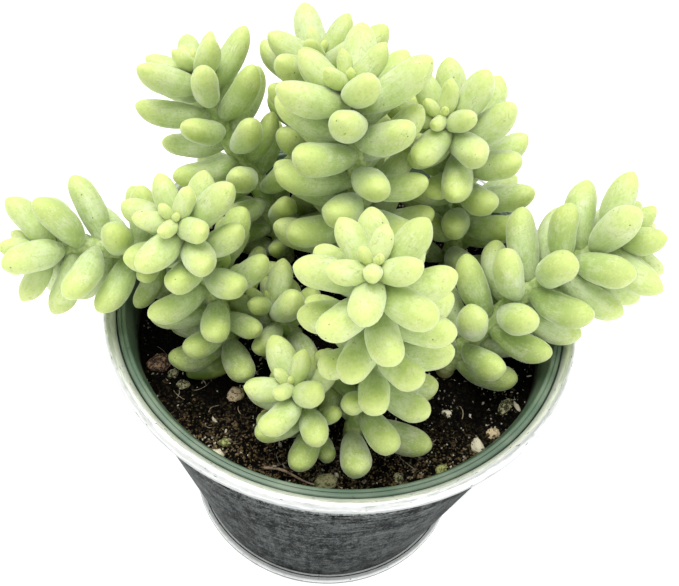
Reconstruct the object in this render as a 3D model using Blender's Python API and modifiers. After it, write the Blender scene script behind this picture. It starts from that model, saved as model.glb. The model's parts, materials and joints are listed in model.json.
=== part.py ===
"""Potted burro's tail: leafy stems in a green nursery pot that stands in a galvanised pot.

Units are metres, +Z is up, and the origin is the middle of the metal pot's flat bottom.
"""

import math
import random
from dataclasses import dataclass, replace

import bmesh
import bpy
import numpy as np
from mathutils import Vector, noise

MM = 0.001
GAP = 0.3 * MM  # kept between pieces that touch

# Metal pot, measured outside
RIM_RADIUS = 60.0 * MM
ROLL_RADIUS = 1.6 * MM
POT_HEIGHT = 88.6 * MM
SHEET = 0.8 * MM
NECK_DROP = 8.6 * MM  # from the rolled rim down to the ridge
RIDGE_RISE = 0.35 * MM
BAND_HEIGHT = 7.5 * MM  # brushed band under the ridge
FOOT_RADIUS = 41.9 * MM
FOOT_HEIGHT = 2.8 * MM
FOOT_STEP = 2.0 * MM
SEAM_DEPTH = 0.3 * MM
POT_STEPS = 32
ROLL_CENTRE = (RIM_RADIUS - ROLL_RADIUS, POT_HEIGHT - ROLL_RADIUS)
WALL_TOP = ROLL_CENTRE[0] - ROLL_RADIUS / 2  # outer radius of the wall under the roll

# Nursery pot
LINER_WALL = 0.9 * MM
LINER_FLOOR = SHEET + GAP
LINER_TOP = POT_HEIGHT - 1.3 * MM
LINER_LIP_WIDTH = 1.8 * MM
LINER_LIP_HEIGHT = 2.6 * MM
LINER_FOOT_RADIUS = 37.0 * MM
SHOULDER_HEIGHT = 72.0 * MM
SHOULDER_RADIUS = 53.1 * MM
SHOULDER_STEP = 0.8 * MM
DRAIN_HOLES = 6
DRAIN_RADIUS = 3.0 * MM
DRAIN_CIRCLE = 25.0 * MM
LIP_CLEARANCE = 0.8 * MM
LIP_RADIUS = ROLL_CENTRE[0] - ROLL_RADIUS - LIP_CLEARANCE  # outer radius of the liner's lip

# Soil
SOIL_LEVEL = 76.0 * MM
SOIL_RELIEF = 0.7 * MM
SOIL_GRAIN_SIZE = 9.0 * MM
SOIL_RINGS = 6
SOIL_SEED = 4.0

# Grit that lies on the soil: x, y, half length, half width in millimetres, turn in degrees
GRIT = (
    (-25.4, -43.0, 1.8, 1.6, 0),
    (-15.3, -30.8, 2.1, 1.8, 40),
    (-23.6, -26.0, 2.6, 2.1, 60),
    (-36.9, -24.8, 1.9, 1.5, 20),
    (-40.0, -21.9, 1.9, 1.4, 70),
    (-44.0, -19.0, 3.6, 2.8, 30),
    (-24.2, -39.8, 1.6, 1.3, 0),
    (0.6, -47.2, 3.0, 2.3, 15),
    (36.2, -33.4, 2.4, 1.7, 110),
    (40.0, -29.4, 2.0, 1.5, 30),
    (28.6, -25.2, 1.4, 1.2, 0),
    (43.4, -21.0, 3.3, 1.7, 60),
    (27.6, -40.6, 1.8, 1.4, 30),
    (17.5, -44.0, 1.7, 1.4, 80),
)

# Leaves and stems of the plant
LEAF_LENGTH = 18.4 * MM
LEAF_BASE = 0.34  # width where it leaves the stem, over its greatest width
LEAF_WIDEST = 0.5  # share of the length at which a leaf is widest
LEAF_BOW = 0.045  # how far the middle bows away from the tip, over the length
ROOT_DEPTH = 0.55  # share of the stem's radius at which a leaf starts
LEAF_FLAT = 0.86  # thickness of the upper half over that of the lower half
LEAF_SIDES, LEAF_RINGS = 5, 3
BUD_SIDES, BUD_RINGS = 4, 3
BUD_LENGTH = 0.6 * LEAF_LENGTH  # under this length a leaf has a bud's sides and rings
RING_SPREAD = 0.75  # draws a leaf's rings towards its ends
LEAF_SWELL = 1.14  # lets a few-sided leaf stand in for a round one
OPENING_PACE = 0.9  # how slowly leaves open away from the tip, over the count of young ones
GOLDEN_ANGLE = math.radians(137.508)
STEM_TIP_RADIUS = 0.7 * MM
STEM_FOOT_RADIUS = 2.5 * MM
STEM_THICKENING = 9.0 * MM
STEM_SPACING = 6.0 * MM  # between points of a stem's solid
BURIED = 8.0 * MM
BARE = 8.2 * MM  # length of each stem, from its foot, that carries no leaves
ROUTE_DIVISIONS = 24

# How the leaves settle against each other
TOUCH_SHARES = np.array([0.2, 0.36, 0.52, 0.68, 0.82, 0.93])
SETTLE_PASSES = 4
SETTLE_ROUNDS = 45  # in a pass
NEAR_EVERY = 15
SHRINK = 0.9  # a leaf that a pass leaves crowded grows this much smaller
RIM_MIDDLE = (RIM_RADIUS + SHOULDER_RADIUS - LINER_WALL) / 2  # of both pots' rims together
RIM_HALF = RIM_RADIUS - RIM_MIDDLE
OTHER_STEM_GAP = 0.9 * MM
SAME_STEM_GAP = 0.25 * MM
POT_CLEARANCE = 0.9 * MM
SPRING_BACK = 0.02
MOST_TURN = 0.25
LEAST_GAP = 0.5 * MM  # a leaf nearer than this to another stem is left off


@dataclass(frozen=True)
class Stem:
    """One leafy shoot. Its route runs from its foot in the soil to its growing tip, in millimetres."""

    name: str
    route: tuple
    turn: float = 0.0  # degrees, where the youngest leaf stands round the tip
    leaf: float = 1.0  # leaf length over LEAF_LENGTH
    spacing: float = 1.65  # millimetres of stem to a leaf
    young: int = 8  # leaves that still grow
    spread: float = 70.0  # degrees between a grown leaf and its stem
    plump: float = 0.42  # width of a grown leaf over its length


STEMS = (
    Stem("stem_far_left", ((-27, 5, 78), (-33, 2, 90), (-46, -4, 100), (-60, -9, 106), (-74, -12, 104)),
         leaf=0.92, young=10, spread=78, plump=0.43),
    Stem("stem_left", ((-27, -14, 78), (-30, -12, 94), (-35, -10, 111), (-38, -14, 124)),
         leaf=0.88, spread=75, plump=0.43),
    Stem("stem_upper_left", ((-17, 20, 78), (-23, 24, 94), (-35, 30, 112), (-43, 36, 127)),
         leaf=1.02, young=7, spread=66, plump=0.38),
    Stem("stem_centre", ((1, 11, 78), (2, 11, 96), (0, 12, 122), (-4, 15, 143)),
         turn=-27, leaf=1.15, young=7, spread=62, plump=0.38),
    Stem("stem_back", ((-4, 30, 78), (-6, 32, 94), (-9, 35, 114), (-12, 38, 133)),
         leaf=1.08, young=6, spread=56, plump=0.4),
    Stem("stem_upper_right", ((28, 22, 78), (29, 26, 94), (26, 26, 114), (18, 20, 132)),
         leaf=1.06, young=9, spread=66, plump=0.39),
    Stem("stem_front", ((6, -34, 78), (8, -31, 92), (8, -28, 113), (5, -32, 137)),
         turn=20, leaf=0.93, young=9, spread=80, plump=0.43),
    Stem("stem_short", ((-3, -35, 78), (-5, -36, 88), (-10, -36, 99)),
         leaf=0.78, spacing=1.5, young=6, spread=76, plump=0.46),
    Stem("stem_right", ((28, -12, 78), (35, -8, 89), (46, -2, 101), (58, 3, 110), (69, 6, 113)),
         leaf=0.98, young=10, spread=68, plump=0.44),
    Stem("stem_filler", ((-11, -8, 78), (-14, -10, 85), (-19, -9, 93)),
         leaf=0.88, young=4, spread=72, plump=0.44),
)


@dataclass
class Leaf:
    """One leaf: it starts at base and points along aim."""

    stem: int
    base: np.ndarray
    aim: np.ndarray
    axis: np.ndarray  # direction of the stem at the leaf, towards its tip
    length: float
    width: float


def unit(vector):
    return vector / np.linalg.norm(vector)


def smooth_route(stem):
    """Points on a Catmull-Rom curve through the stem's route, with the straight buried foot before it."""
    points = np.array(stem.route, float) * MM
    before = points[0] - (0, 0, BURIED)
    controls = np.vstack([before, points, 2 * points[-1] - points[-2]])
    curve = [before]
    for p0, p1, p2, p3 in zip(controls, controls[1:], controls[2:], controls[3:]):
        for step in range(ROUTE_DIVISIONS):
            t = step / ROUTE_DIVISIONS
            bend = (2 * p0 - 5 * p1 + 4 * p2 - p3) * t**2 + (3 * (p1 - p2) + p3 - p0) * t**3
            curve.append(0.5 * (2 * p1 + (p2 - p0) * t + bend))
    curve.append(points[-1])
    return np.array(curve)


class Path:
    """A curve measured by its length."""

    def __init__(self, points):
        self.points = points
        self.marks = np.concatenate([[0.0], np.cumsum(np.linalg.norm(np.diff(points, axis=0), axis=1))])
        self.length = self.marks[-1]

    def at(self, distance):
        return np.array([np.interp(distance, self.marks, self.points[:, k]) for k in range(3)])

    def heading(self, distance):
        reach = 0.4 * MM
        return unit(self.at(min(self.length, distance + reach)) - self.at(distance - reach))


def stem_radius(from_tip):
    thickened = 1 - math.exp(-from_tip / STEM_THICKENING)
    return STEM_TIP_RADIUS + (STEM_FOOT_RADIUS - STEM_TIP_RADIUS) * thickened


def leaf_profile(share):
    """Half width of a leaf at a share of its length, over its greatest half width."""
    share = np.asarray(share, float)
    lower = LEAF_BASE + (1 - LEAF_BASE) * np.sin(0.5 * np.pi * np.clip(share / LEAF_WIDEST, 0, 1)) ** 0.8
    past = np.clip((share - LEAF_WIDEST) / (1 - LEAF_WIDEST), 0, 1)
    upper = np.cos(0.5 * np.pi * past**1.9) ** 0.55
    return np.where(share < LEAF_WIDEST, lower, upper)


def grow(number, stem):
    """The leaves of one stem, from its tip down, each a golden angle round from the last."""
    draw = random.Random(number)
    path = Path(smooth_route(stem))
    grown = LEAF_LENGTH * stem.leaf
    side = unit(np.cross(path.heading(path.length), (0.0, -1.0, 0.2)))
    leaves = []
    from_tip = 0.3 * MM
    while path.length - from_tip > BARE:
        count = len(leaves)
        axis = path.heading(path.length - from_tip)
        side = unit(side - axis * (side @ axis))
        angle = math.radians(stem.turn) + count * GOLDEN_ANGLE
        outward = side * math.cos(angle) + np.cross(axis, side) * math.sin(angle)
        opening = 1 - math.exp(-count / (OPENING_PACE * stem.young))
        wobble = draw.uniform(-7, 7) * min(1, count / stem.young)
        tilt = math.radians(12 + (stem.spread - 12) * opening + wobble)
        length = grown * min(1.0, 0.2 + 0.8 * (count / stem.young) ** 0.9) * draw.uniform(0.92, 1.06)
        width = min(length * (stem.plump + 0.14 * math.exp(-count / 5)), grown * stem.plump)
        base = path.at(path.length - from_tip) + outward * stem_radius(from_tip) * ROOT_DEPTH
        aim = axis * math.cos(tilt) + outward * math.sin(tilt)
        leaves.append(Leaf(number, base, aim, axis, length, width))
        from_tip += stem.spacing * MM * min(1.0, 0.22 + 0.78 * count / (1.3 * stem.young))
    return leaves


def under_sides(aims, axes):
    """Unit vectors across each leaf, pointing away from the stem's tip."""
    across = aims * (aims * axes).sum(1, keepdims=True) - axes
    return across / np.maximum(np.linalg.norm(across, axis=1, keepdims=True), 1e-6)


def centre_points(bases, aims, axes, lengths, shares):
    """Points along the bowed middle of each leaf, as an array of leaf, share and coordinate."""
    bow = 4 * LEAF_BOW * shares * (1 - shares)
    reach = aims[:, None] * shares[None, :, None] + under_sides(aims, axes)[:, None] * bow[None, :, None]
    return bases[:, None] + reach * lengths[:, None, None]


def near_pairs(points, radii):
    """Index pairs of leaves whose round hulls come close."""
    middles = points.mean(1)
    reaches = np.linalg.norm(points - middles[:, None], axis=2).max(1) + radii.max(1) + 1.5 * MM
    distances = np.linalg.norm(middles[:, None] - middles[None], axis=2)
    first, second = np.nonzero(np.triu(distances < reaches[:, None] + reaches[None], 1))
    return first, second


def pushes_between(points, radii, first, second, gaps):
    """How far the touch spheres of paired leaves push each other apart."""
    apart = points[first][:, :, None] - points[second][:, None]
    distance = np.linalg.norm(apart, axis=3) + 1e-9
    need = radii[first][:, :, None] + radii[second][:, None] + gaps[:, None, None]
    push = apart * (0.5 * np.maximum(0, need - distance) / distance)[..., None]
    total = np.zeros_like(points)
    np.add.at(total, first, push.sum(2))
    np.add.at(total, second, -push.sum(1))
    return total


def pushes_from_stems(points, radii, owners, cores):
    """How far the bare stems push the leaves of other stems."""
    total = np.zeros_like(points)
    for number, (core, core_radii) in enumerate(cores):
        apart = points[:, :, None] - core[None, None]
        distance = np.linalg.norm(apart, axis=3) + 1e-9
        need = radii[:, :, None] + core_radii + OTHER_STEM_GAP
        push = (apart * (np.maximum(0, need - distance) / distance)[..., None]).sum(2)
        total += np.where((owners == number)[:, None, None], 0, push)
    return total


def pushes_from_pot(points, radii):
    """How far the soil and the two rims push the leaves."""
    total = np.zeros_like(points)
    floor = SOIL_LEVEL + SOIL_RELIEF + radii + POT_CLEARANCE
    total[..., 2] = 0.8 * np.maximum(0, floor - points[..., 2])
    spread = np.hypot(points[..., 0], points[..., 1])
    height = np.minimum(points[..., 2], POT_HEIGHT - RIM_HALF)
    away = np.stack([spread - RIM_MIDDLE, points[..., 2] - height], -1)
    distance = np.linalg.norm(away, axis=-1) + 1e-9
    push = away * (np.maximum(0, radii + RIM_HALF + POT_CLEARANCE - distance) / distance)[..., None]
    radial = points[..., :2] / np.maximum(spread, MM)[..., None]
    total[..., :2] += radial * push[..., :1]
    total[..., 2] += push[..., 1]
    return total


def stem_cores():
    """Points and radii along each stem, which leaves of other stems keep clear of."""
    cores = []
    for stem in STEMS:
        path = Path(smooth_route(stem))
        marks = np.arange(BURIED, path.length, 2 * MM)
        radii = np.array([stem_radius(path.length - mark) for mark in marks])
        cores.append((np.array([path.at(mark) for mark in marks]), radii))
    return cores


class Crowd:
    """Every leaf of the plant as arrays, with the stems that they keep clear of."""

    def __init__(self, leaves):
        self.leaves = leaves
        self.owners = np.array([leaf.stem for leaf in leaves])
        self.bases = np.array([leaf.base for leaf in leaves])
        self.aims = np.array([leaf.aim for leaf in leaves])
        self.grown = self.aims.copy()
        self.axes = np.array([leaf.axis for leaf in leaves])
        self.lengths = np.array([leaf.length for leaf in leaves])
        self.widths = np.array([leaf.width for leaf in leaves])
        self.cores = stem_cores()

    @property
    def radii(self):
        return 0.5 * leaf_profile(TOUCH_SHARES)[None] * self.widths[:, None]

    @property
    def points(self):
        return centre_points(self.bases, self.aims, self.axes, self.lengths, TOUCH_SHARES)

    def turn_apart(self):
        """Turns each leaf about its base, away from what it meets and back to where it grew."""
        radii = self.radii
        arms = ((TOUCH_SHARES[None] * self.lengths[:, None]) ** 2).sum(1)
        for step in range(SETTLE_ROUNDS):
            points = self.points
            if step % NEAR_EVERY == 0:
                first, second = near_pairs(points, radii)
                gaps = np.where(self.owners[first] == self.owners[second], SAME_STEM_GAP, OTHER_STEM_GAP)
            push = pushes_between(points, radii, first, second, gaps)
            push += pushes_from_stems(points, radii, self.owners, self.cores) + pushes_from_pot(points, radii)
            turn = np.cross(points - self.bases[:, None], push).sum(1) / arms[:, None]
            size = np.linalg.norm(turn, axis=1, keepdims=True)
            turn *= np.minimum(1, MOST_TURN / np.maximum(size, 1e-9))
            turn += SPRING_BACK * np.cross(self.aims, self.grown)
            self.aims += np.cross(turn, self.aims)
            self.aims /= np.linalg.norm(self.aims, axis=1, keepdims=True)

    def tight_pairs(self):
        """Pairs of leaves of different stems that lie too near each other, and the leaves too near a stem."""
        points, radii = self.points, self.radii
        first, second = near_pairs(points, radii)
        other = self.owners[first] != self.owners[second]
        first, second = first[other], second[other]
        distance = np.linalg.norm(points[first][:, :, None] - points[second][:, None], axis=3)
        room = (distance - radii[first][:, :, None] - radii[second][:, None]).min((1, 2))
        jammed = np.zeros(len(radii), bool)
        for number, (core, core_radii) in enumerate(self.cores):
            reach = np.linalg.norm(points[:, :, None] - core, axis=3) - radii[:, :, None] - core_radii
            jammed |= (reach.min((1, 2)) < LEAST_GAP) & (self.owners != number)
        return first[room < LEAST_GAP], second[room < LEAST_GAP], jammed

    def shrink_crowded(self):
        first, second, jammed = self.tight_pairs()
        jammed[first] = jammed[second] = True
        self.lengths[jammed] *= SHRINK
        self.widths[jammed] *= SHRINK

    def clear_leaves(self):
        """The leaves that lie clear of other stems. The most crowded are left off first."""
        first, second, jammed = self.tight_pairs()
        kept = ~jammed
        while (tight := kept[first] & kept[second]).any():
            crowding = np.bincount(np.concatenate([first[tight], second[tight]]), minlength=len(kept))
            kept[crowding.argmax()] = False
        settled = zip(self.leaves, self.aims, self.lengths, self.widths, kept)
        return [
            replace(leaf, aim=aim, length=length, width=width)
            for leaf, aim, length, width, keep in settled
            if keep
        ]


def settle(leaves):
    """Lays every leaf beside its neighbours, and leaves off the few that find no room."""
    crowd = Crowd(leaves)
    for _ in range(SETTLE_PASSES):
        crowd.turn_apart()
        crowd.shrink_crowded()
    crowd.turn_apart()
    return crowd.clear_leaves()


def soil_height(x, y):
    """Height of the soil's rough surface, which is level at the liner's wall."""
    rough = noise.noise(Vector((x / SOIL_GRAIN_SIZE, y / SOIL_GRAIN_SIZE, SOIL_SEED)))
    edge = min(1.0, (soil_radius(SOIL_LEVEL) - math.hypot(x, y)) / (4 * MM))
    return SOIL_LEVEL + SOIL_RELIEF * rough * max(0.0, edge)


def liner_radius(height):
    """Outer radius of the nursery pot's tapered wall, which steps in under a shoulder."""
    if height < SHOULDER_HEIGHT:
        rise = (height - LINER_FLOOR) / (SHOULDER_HEIGHT - LINER_FLOOR)
        return LINER_FOOT_RADIUS + (SHOULDER_RADIUS - SHOULDER_STEP - LINER_FOOT_RADIUS) * rise
    rise = (height - SHOULDER_HEIGHT) / (LINER_TOP - SHOULDER_HEIGHT)
    return SHOULDER_RADIUS + (LIP_RADIUS - LINER_LIP_WIDTH - SHOULDER_RADIUS) * rise


def soil_radius(height):
    return liner_radius(height) - LINER_WALL - GAP


def material(name, colour, roughness, metallic=0.0):
    made = bpy.data.materials.new(name)
    made.use_nodes = True
    shader = made.node_tree.nodes["Principled BSDF"]
    shader.inputs["Base Color"].default_value = (*colour, 1.0)
    shader.inputs["Roughness"].default_value = roughness
    shader.inputs["Metallic"].default_value = metallic
    return made


def add_object(name, mesh, collection, surface=None):
    made = bpy.data.objects.new(name, mesh)
    collection.objects.link(made)
    if surface:
        mesh.materials.clear()
        mesh.materials.append(surface)
    return made


def evaluated_mesh(obj):
    bpy.context.view_layer.update()
    return bpy.data.meshes.new_from_object(obj.evaluated_get(bpy.context.evaluated_depsgraph_get()))


def mesh_from(build):
    """A mesh that the given function fills through a bmesh."""
    mesh = bpy.data.meshes.new("shape")
    shape = bmesh.new()
    build(shape)
    shape.to_mesh(mesh)
    shape.free()
    return mesh


def turned(name, profile, steps, collection, surface):
    """A turned solid. The profile runs down its outer side, from the axis back to the axis."""
    outline = bpy.data.meshes.new(name)
    corners = [(radius, 0.0, height) for radius, height in profile]
    outline.from_pydata(corners, [(k, k + 1) for k in range(len(corners) - 1)], [])
    made = add_object(name, outline, collection, surface)
    screw = made.modifiers.new("turn", "SCREW")
    screw.axis = "Z"
    screw.steps = screw.render_steps = steps
    screw.use_merge_vertices = True
    screw.merge_threshold = 0.00005
    mesh = evaluated_mesh(made)
    made.modifiers.clear()
    made.data = mesh
    mesh.shade_smooth()
    mesh.set_sharp_from_angle(angle=math.radians(40))
    return made


def arc(centre, radius, start, end, parts):
    """Points round an arc, in the plane of a profile, with its angles in degrees."""
    angles = [math.radians(start + (end - start) * k / parts) for k in range(parts + 1)]
    return [(centre[0] + radius * math.cos(a), centre[1] + radius * math.sin(a)) for a in angles]


def combine(obj, collection, operation):
    """Joins every object of the collection to obj, or cuts them all from it, and removes them."""
    boolean = obj.modifiers.new("combine", "BOOLEAN")
    boolean.operation = operation
    boolean.operand_type = "COLLECTION"
    boolean.collection = collection
    boolean.solver = "EXACT"
    mesh = evaluated_mesh(obj)
    obj.modifiers.clear()
    obj.data = mesh
    for piece in list(collection.objects):
        bpy.data.objects.remove(piece)
    bpy.data.collections.remove(collection)


def helper_collection(name):
    made = bpy.data.collections.new(name)
    bpy.context.scene.collection.children.link(made)
    return made


def make_metal_pot(collection):
    """The galvanised pot: rolled rim, plain neck, ridge, brushed band, tapered wall and foot ring."""
    neck = POT_HEIGHT - 2 * ROLL_RADIUS - NECK_DROP
    band = neck - BAND_HEIGHT
    wall_foot = FOOT_RADIUS - FOOT_STEP
    top = ROLL_CENTRE[1] - ROLL_RADIUS * math.sin(math.radians(60))

    def wall(height):
        return wall_foot + (WALL_TOP - wall_foot) * (height - FOOT_HEIGHT) / (top - FOOT_HEIGHT)

    inner = [(0.0, SHEET), (wall(FOOT_HEIGHT) - SHEET, SHEET)]
    outer = [(wall(neck + MM), neck + MM), (wall(neck) + RIDGE_RISE, neck)]
    outer += [(wall(neck - MM) + RIDGE_RISE, neck - MM), (wall(band) + RIDGE_RISE, band)]
    outer += [(wall(band - MM), band - MM), (wall_foot, FOOT_HEIGHT + 0.4 * MM)]
    middle = FOOT_HEIGHT / 2
    foot = [(FOOT_RADIUS - 0.6 * MM, FOOT_HEIGHT), (FOOT_RADIUS, FOOT_HEIGHT - 0.5 * MM)]
    foot += [(FOOT_RADIUS - SEAM_DEPTH, middle), (FOOT_RADIUS, 0.4 * MM), (FOOT_RADIUS - 0.4 * MM, 0.0)]
    profile = inner + arc(ROLL_CENTRE, ROLL_RADIUS, 180, -120, 6) + outer + foot + [(0.0, 0.0)]
    zinc = material("galvanised_steel", (0.30, 0.32, 0.33), 0.45, 0.9)
    return turned("metal_pot", profile, POT_STEPS, collection, zinc)


def make_nursery_pot(collection):
    """The green plastic liner: tapered wall, flat lip and a floor with drain holes."""
    lip_under = LINER_TOP - LINER_LIP_HEIGHT
    inside = LIP_RADIUS - LINER_LIP_WIDTH
    edge = 0.5 * MM
    floor_top = LINER_FLOOR + LINER_WALL
    under = SHOULDER_HEIGHT - SHOULDER_STEP
    shoulder = [(liner_radius(height), height) for height in (SHOULDER_HEIGHT, under)]
    profile = [(0.0, floor_top), (liner_radius(floor_top) - LINER_WALL, floor_top)]
    profile += [(radius - LINER_WALL, height) for radius, height in reversed(shoulder)]
    profile += [(liner_radius(lip_under) - LINER_WALL, lip_under), (inside - 0.5 * edge, LINER_TOP - edge)]
    profile += [(inside + edge, LINER_TOP), (LIP_RADIUS - edge, LINER_TOP), (LIP_RADIUS, LINER_TOP - edge)]
    profile += [(LIP_RADIUS, lip_under), (liner_radius(lip_under), lip_under), *shoulder]
    profile += [(LINER_FOOT_RADIUS, LINER_FLOOR), (0.0, LINER_FLOOR)]
    green = material("green_plastic", (0.10, 0.20, 0.13), 0.45)
    pot = turned("nursery_pot", profile, POT_STEPS, collection, green)
    cutters = helper_collection("drain_cutters")
    for number in range(DRAIN_HOLES):
        angle = 2 * math.pi * number / DRAIN_HOLES
        size = {"cap_ends": True, "segments": 10, "radius1": DRAIN_RADIUS, "radius2": DRAIN_RADIUS}
        drill = mesh_from(lambda shape: bmesh.ops.create_cone(shape, depth=8 * MM, **size))
        cutter = add_object("drain_cutter", drill, cutters)
        cutter.location = (DRAIN_CIRCLE * math.cos(angle), DRAIN_CIRCLE * math.sin(angle), LINER_FLOOR)
    combine(pot, cutters, "DIFFERENCE")
    return pot


def make_grit(place, collection):
    """One bit of grit, half sunk in the soil."""
    x, y, long, wide, turn = place
    mesh = mesh_from(lambda shape: bmesh.ops.create_icosphere(shape, subdivisions=1, radius=1.0))
    grain = add_object("grit", mesh, collection)
    grain.scale = (long * MM, wide * MM, wide * MM)
    grain.rotation_euler = (0.0, 0.0, math.radians(turn))
    grain.location = (x * MM, y * MM, soil_height(x * MM, y * MM) - 0.2 * wide * MM)


def make_soil(collection):
    """The soil: it fills the liner, with a rough top, grit on it and a hole for each stem."""
    foot = LINER_FLOOR + LINER_WALL + GAP
    edge = soil_radius(SOIL_LEVEL)
    profile = [(edge * k / SOIL_RINGS, SOIL_LEVEL) for k in range(SOIL_RINGS + 1)]
    under = SHOULDER_HEIGHT - SHOULDER_STEP
    profile += [(soil_radius(height), height) for height in (SHOULDER_HEIGHT, under, foot)] + [(0.0, foot)]
    peat = material("soil", (0.03, 0.02, 0.014), 0.95)
    soil = turned("soil", profile, POT_STEPS, collection, peat)
    for vertex in soil.data.vertices:
        if vertex.co.z > SOIL_LEVEL - MM:
            vertex.co.z = soil_height(vertex.co.x, vertex.co.y)
    grit = helper_collection("grit_pieces")
    for place in GRIT:
        make_grit(place, grit)
    combine(soil, grit, "UNION")
    cutters = helper_collection("stem_cutters")
    for stem in STEMS:
        path = Path(smooth_route(stem))
        make_tube("stem_cutter", path, BURIED + 6 * MM, GAP + 0.2 * MM, cutters)
    combine(soil, cutters, "DIFFERENCE")
    return soil


def make_tube(name, path, length, thicker, collection):
    """A solid round the first length of a stem's path, thicker by the given amount all round."""
    count = max(2, round(length / STEM_SPACING))
    marks = [length * k / count for k in range(count + 1)]
    curve = bpy.data.curves.new(name, "CURVE")
    curve.dimensions = "3D"
    curve.bevel_depth = 1.0
    curve.bevel_resolution = 1
    curve.use_fill_caps = True
    spline = curve.splines.new("POLY")
    spline.points.add(count)
    for point, mark in zip(spline.points, marks):
        start = -thicker if mark == 0 else 0.0
        point.co = (*(path.at(mark) + np.array((0, 0, start))), 1.0)
        point.radius = stem_radius(path.length - mark) + thicker
    guide = bpy.data.objects.new(name, curve)
    bpy.context.scene.collection.objects.link(guide)
    mesh = evaluated_mesh(guide)
    bpy.data.objects.remove(guide)
    welded = bmesh.new()
    welded.from_mesh(mesh)
    bmesh.ops.remove_doubles(welded, verts=welded.verts, dist=0.01 * MM)
    welded.to_mesh(mesh)
    welded.free()
    return add_object(name, mesh, collection)


def make_leaf(leaf, collection):
    """A plump few-sided leaf: a sphere drawn out along the leaf's bowed middle."""

    def build(shape):
        sides, rings = (BUD_SIDES, BUD_RINGS) if leaf.length < BUD_LENGTH else (LEAF_SIDES, LEAF_RINGS)
        bmesh.ops.create_uvsphere(shape, u_segments=sides, v_segments=rings, radius=1.0)
        heights = np.array([vertex.co.z for vertex in shape.verts])
        shares = 0.5 + 0.5 * np.sign(heights) * np.abs(heights) ** RING_SPREAD
        middle = centre_points(*(np.array([value]) for value in (leaf.base, leaf.aim, leaf.axis)),
                               np.array([leaf.length]), shares)[0]
        upper = -under_sides(leaf.aim[None], leaf.axis[None])[0]
        side = np.cross(upper, leaf.aim)
        half = 0.5 * leaf.width * LEAF_SWELL * leaf_profile(shares)
        for vertex, centre, radius in zip(shape.verts, middle, half):
            spread = math.hypot(vertex.co.x, vertex.co.y)
            if spread > 1e-4:
                across = vertex.co.x / spread * radius
                rise = vertex.co.y / spread * radius * (LEAF_FLAT if vertex.co.y > 0 else 1.0)
                centre = centre + side * across + upper * rise
            vertex.co = centre
        bmesh.ops.recalc_face_normals(shape, faces=shape.faces)

    add_object("leaf", mesh_from(build), collection)


def make_stem(number, stem, leaves, collection):
    """A stem with its own leaves, as one solid."""
    path = Path(smooth_route(stem))
    made = make_tube(stem.name, path, path.length, 0.0, collection)
    green = material(stem.name + "_green", (0.42, 0.58, 0.22), 0.5)
    made.data.materials.append(green)
    pieces = helper_collection(stem.name + "_leaves")
    for leaf in leaves:
        if leaf.stem == number:
            make_leaf(leaf, pieces)
    combine(made, pieces, "UNION")
    made.data.materials.clear()
    made.data.materials.append(green)
    return made


def clear_scene():
    for obj in list(bpy.data.objects):
        bpy.data.objects.remove(obj)


def main():
    clear_scene()
    plant = helper_collection("potted_burros_tail")
    make_metal_pot(plant)
    make_nursery_pot(plant)
    make_soil(plant)
    leaves = settle([leaf for number, stem in enumerate(STEMS) for leaf in grow(number, stem)])
    for number, stem in enumerate(STEMS):
        make_stem(number, stem, leaves, plant)
    return leaves


if __name__ == "__main__":
    main()
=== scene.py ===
"""Finished look of the potted burro's tail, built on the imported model.

Every length is in metres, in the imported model's own frame: +Z is up, and the origin is the middle of the
metal pot's flat bottom. The plant grows here by the same rule, numbers and seeds as its solids.
"""

from __future__ import annotations

import json
import logging
import math
import random
from dataclasses import dataclass, field, replace
from enum import Enum

import bmesh
import bpy
import numpy as np
from mathutils import Matrix, Vector, noise

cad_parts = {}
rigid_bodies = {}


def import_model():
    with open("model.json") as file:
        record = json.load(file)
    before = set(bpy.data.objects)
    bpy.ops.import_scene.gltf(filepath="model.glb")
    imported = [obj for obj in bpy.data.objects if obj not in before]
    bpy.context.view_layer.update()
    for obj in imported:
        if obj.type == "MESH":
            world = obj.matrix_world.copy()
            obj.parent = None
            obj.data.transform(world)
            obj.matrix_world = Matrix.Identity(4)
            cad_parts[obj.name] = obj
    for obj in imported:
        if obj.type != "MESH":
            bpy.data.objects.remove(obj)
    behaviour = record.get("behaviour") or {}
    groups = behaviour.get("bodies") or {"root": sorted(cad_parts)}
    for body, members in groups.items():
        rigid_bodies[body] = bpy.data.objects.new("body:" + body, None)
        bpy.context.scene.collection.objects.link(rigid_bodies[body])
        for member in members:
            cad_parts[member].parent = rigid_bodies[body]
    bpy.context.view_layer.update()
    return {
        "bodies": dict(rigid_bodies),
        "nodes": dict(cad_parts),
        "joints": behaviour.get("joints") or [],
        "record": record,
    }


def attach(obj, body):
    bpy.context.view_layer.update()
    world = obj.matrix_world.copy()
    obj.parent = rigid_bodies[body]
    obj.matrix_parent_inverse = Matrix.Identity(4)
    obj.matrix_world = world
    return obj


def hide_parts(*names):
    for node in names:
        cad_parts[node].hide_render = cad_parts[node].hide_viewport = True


log = logging.getLogger("burros_tail")

MM = 0.001
TO_MM = 1000.0  # metres to millimetres
GAP = 0.3 * MM  # air between the soil and its liner
ON_AXIS = 1e-6  # a turned point nearer to the axis than this lies on it
BRUSH_FOOT = 64.0  # height in millimetres at which the brushed lines end
BODY = "root"
Colour = tuple[float, float, float]


# Shader graphs


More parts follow.
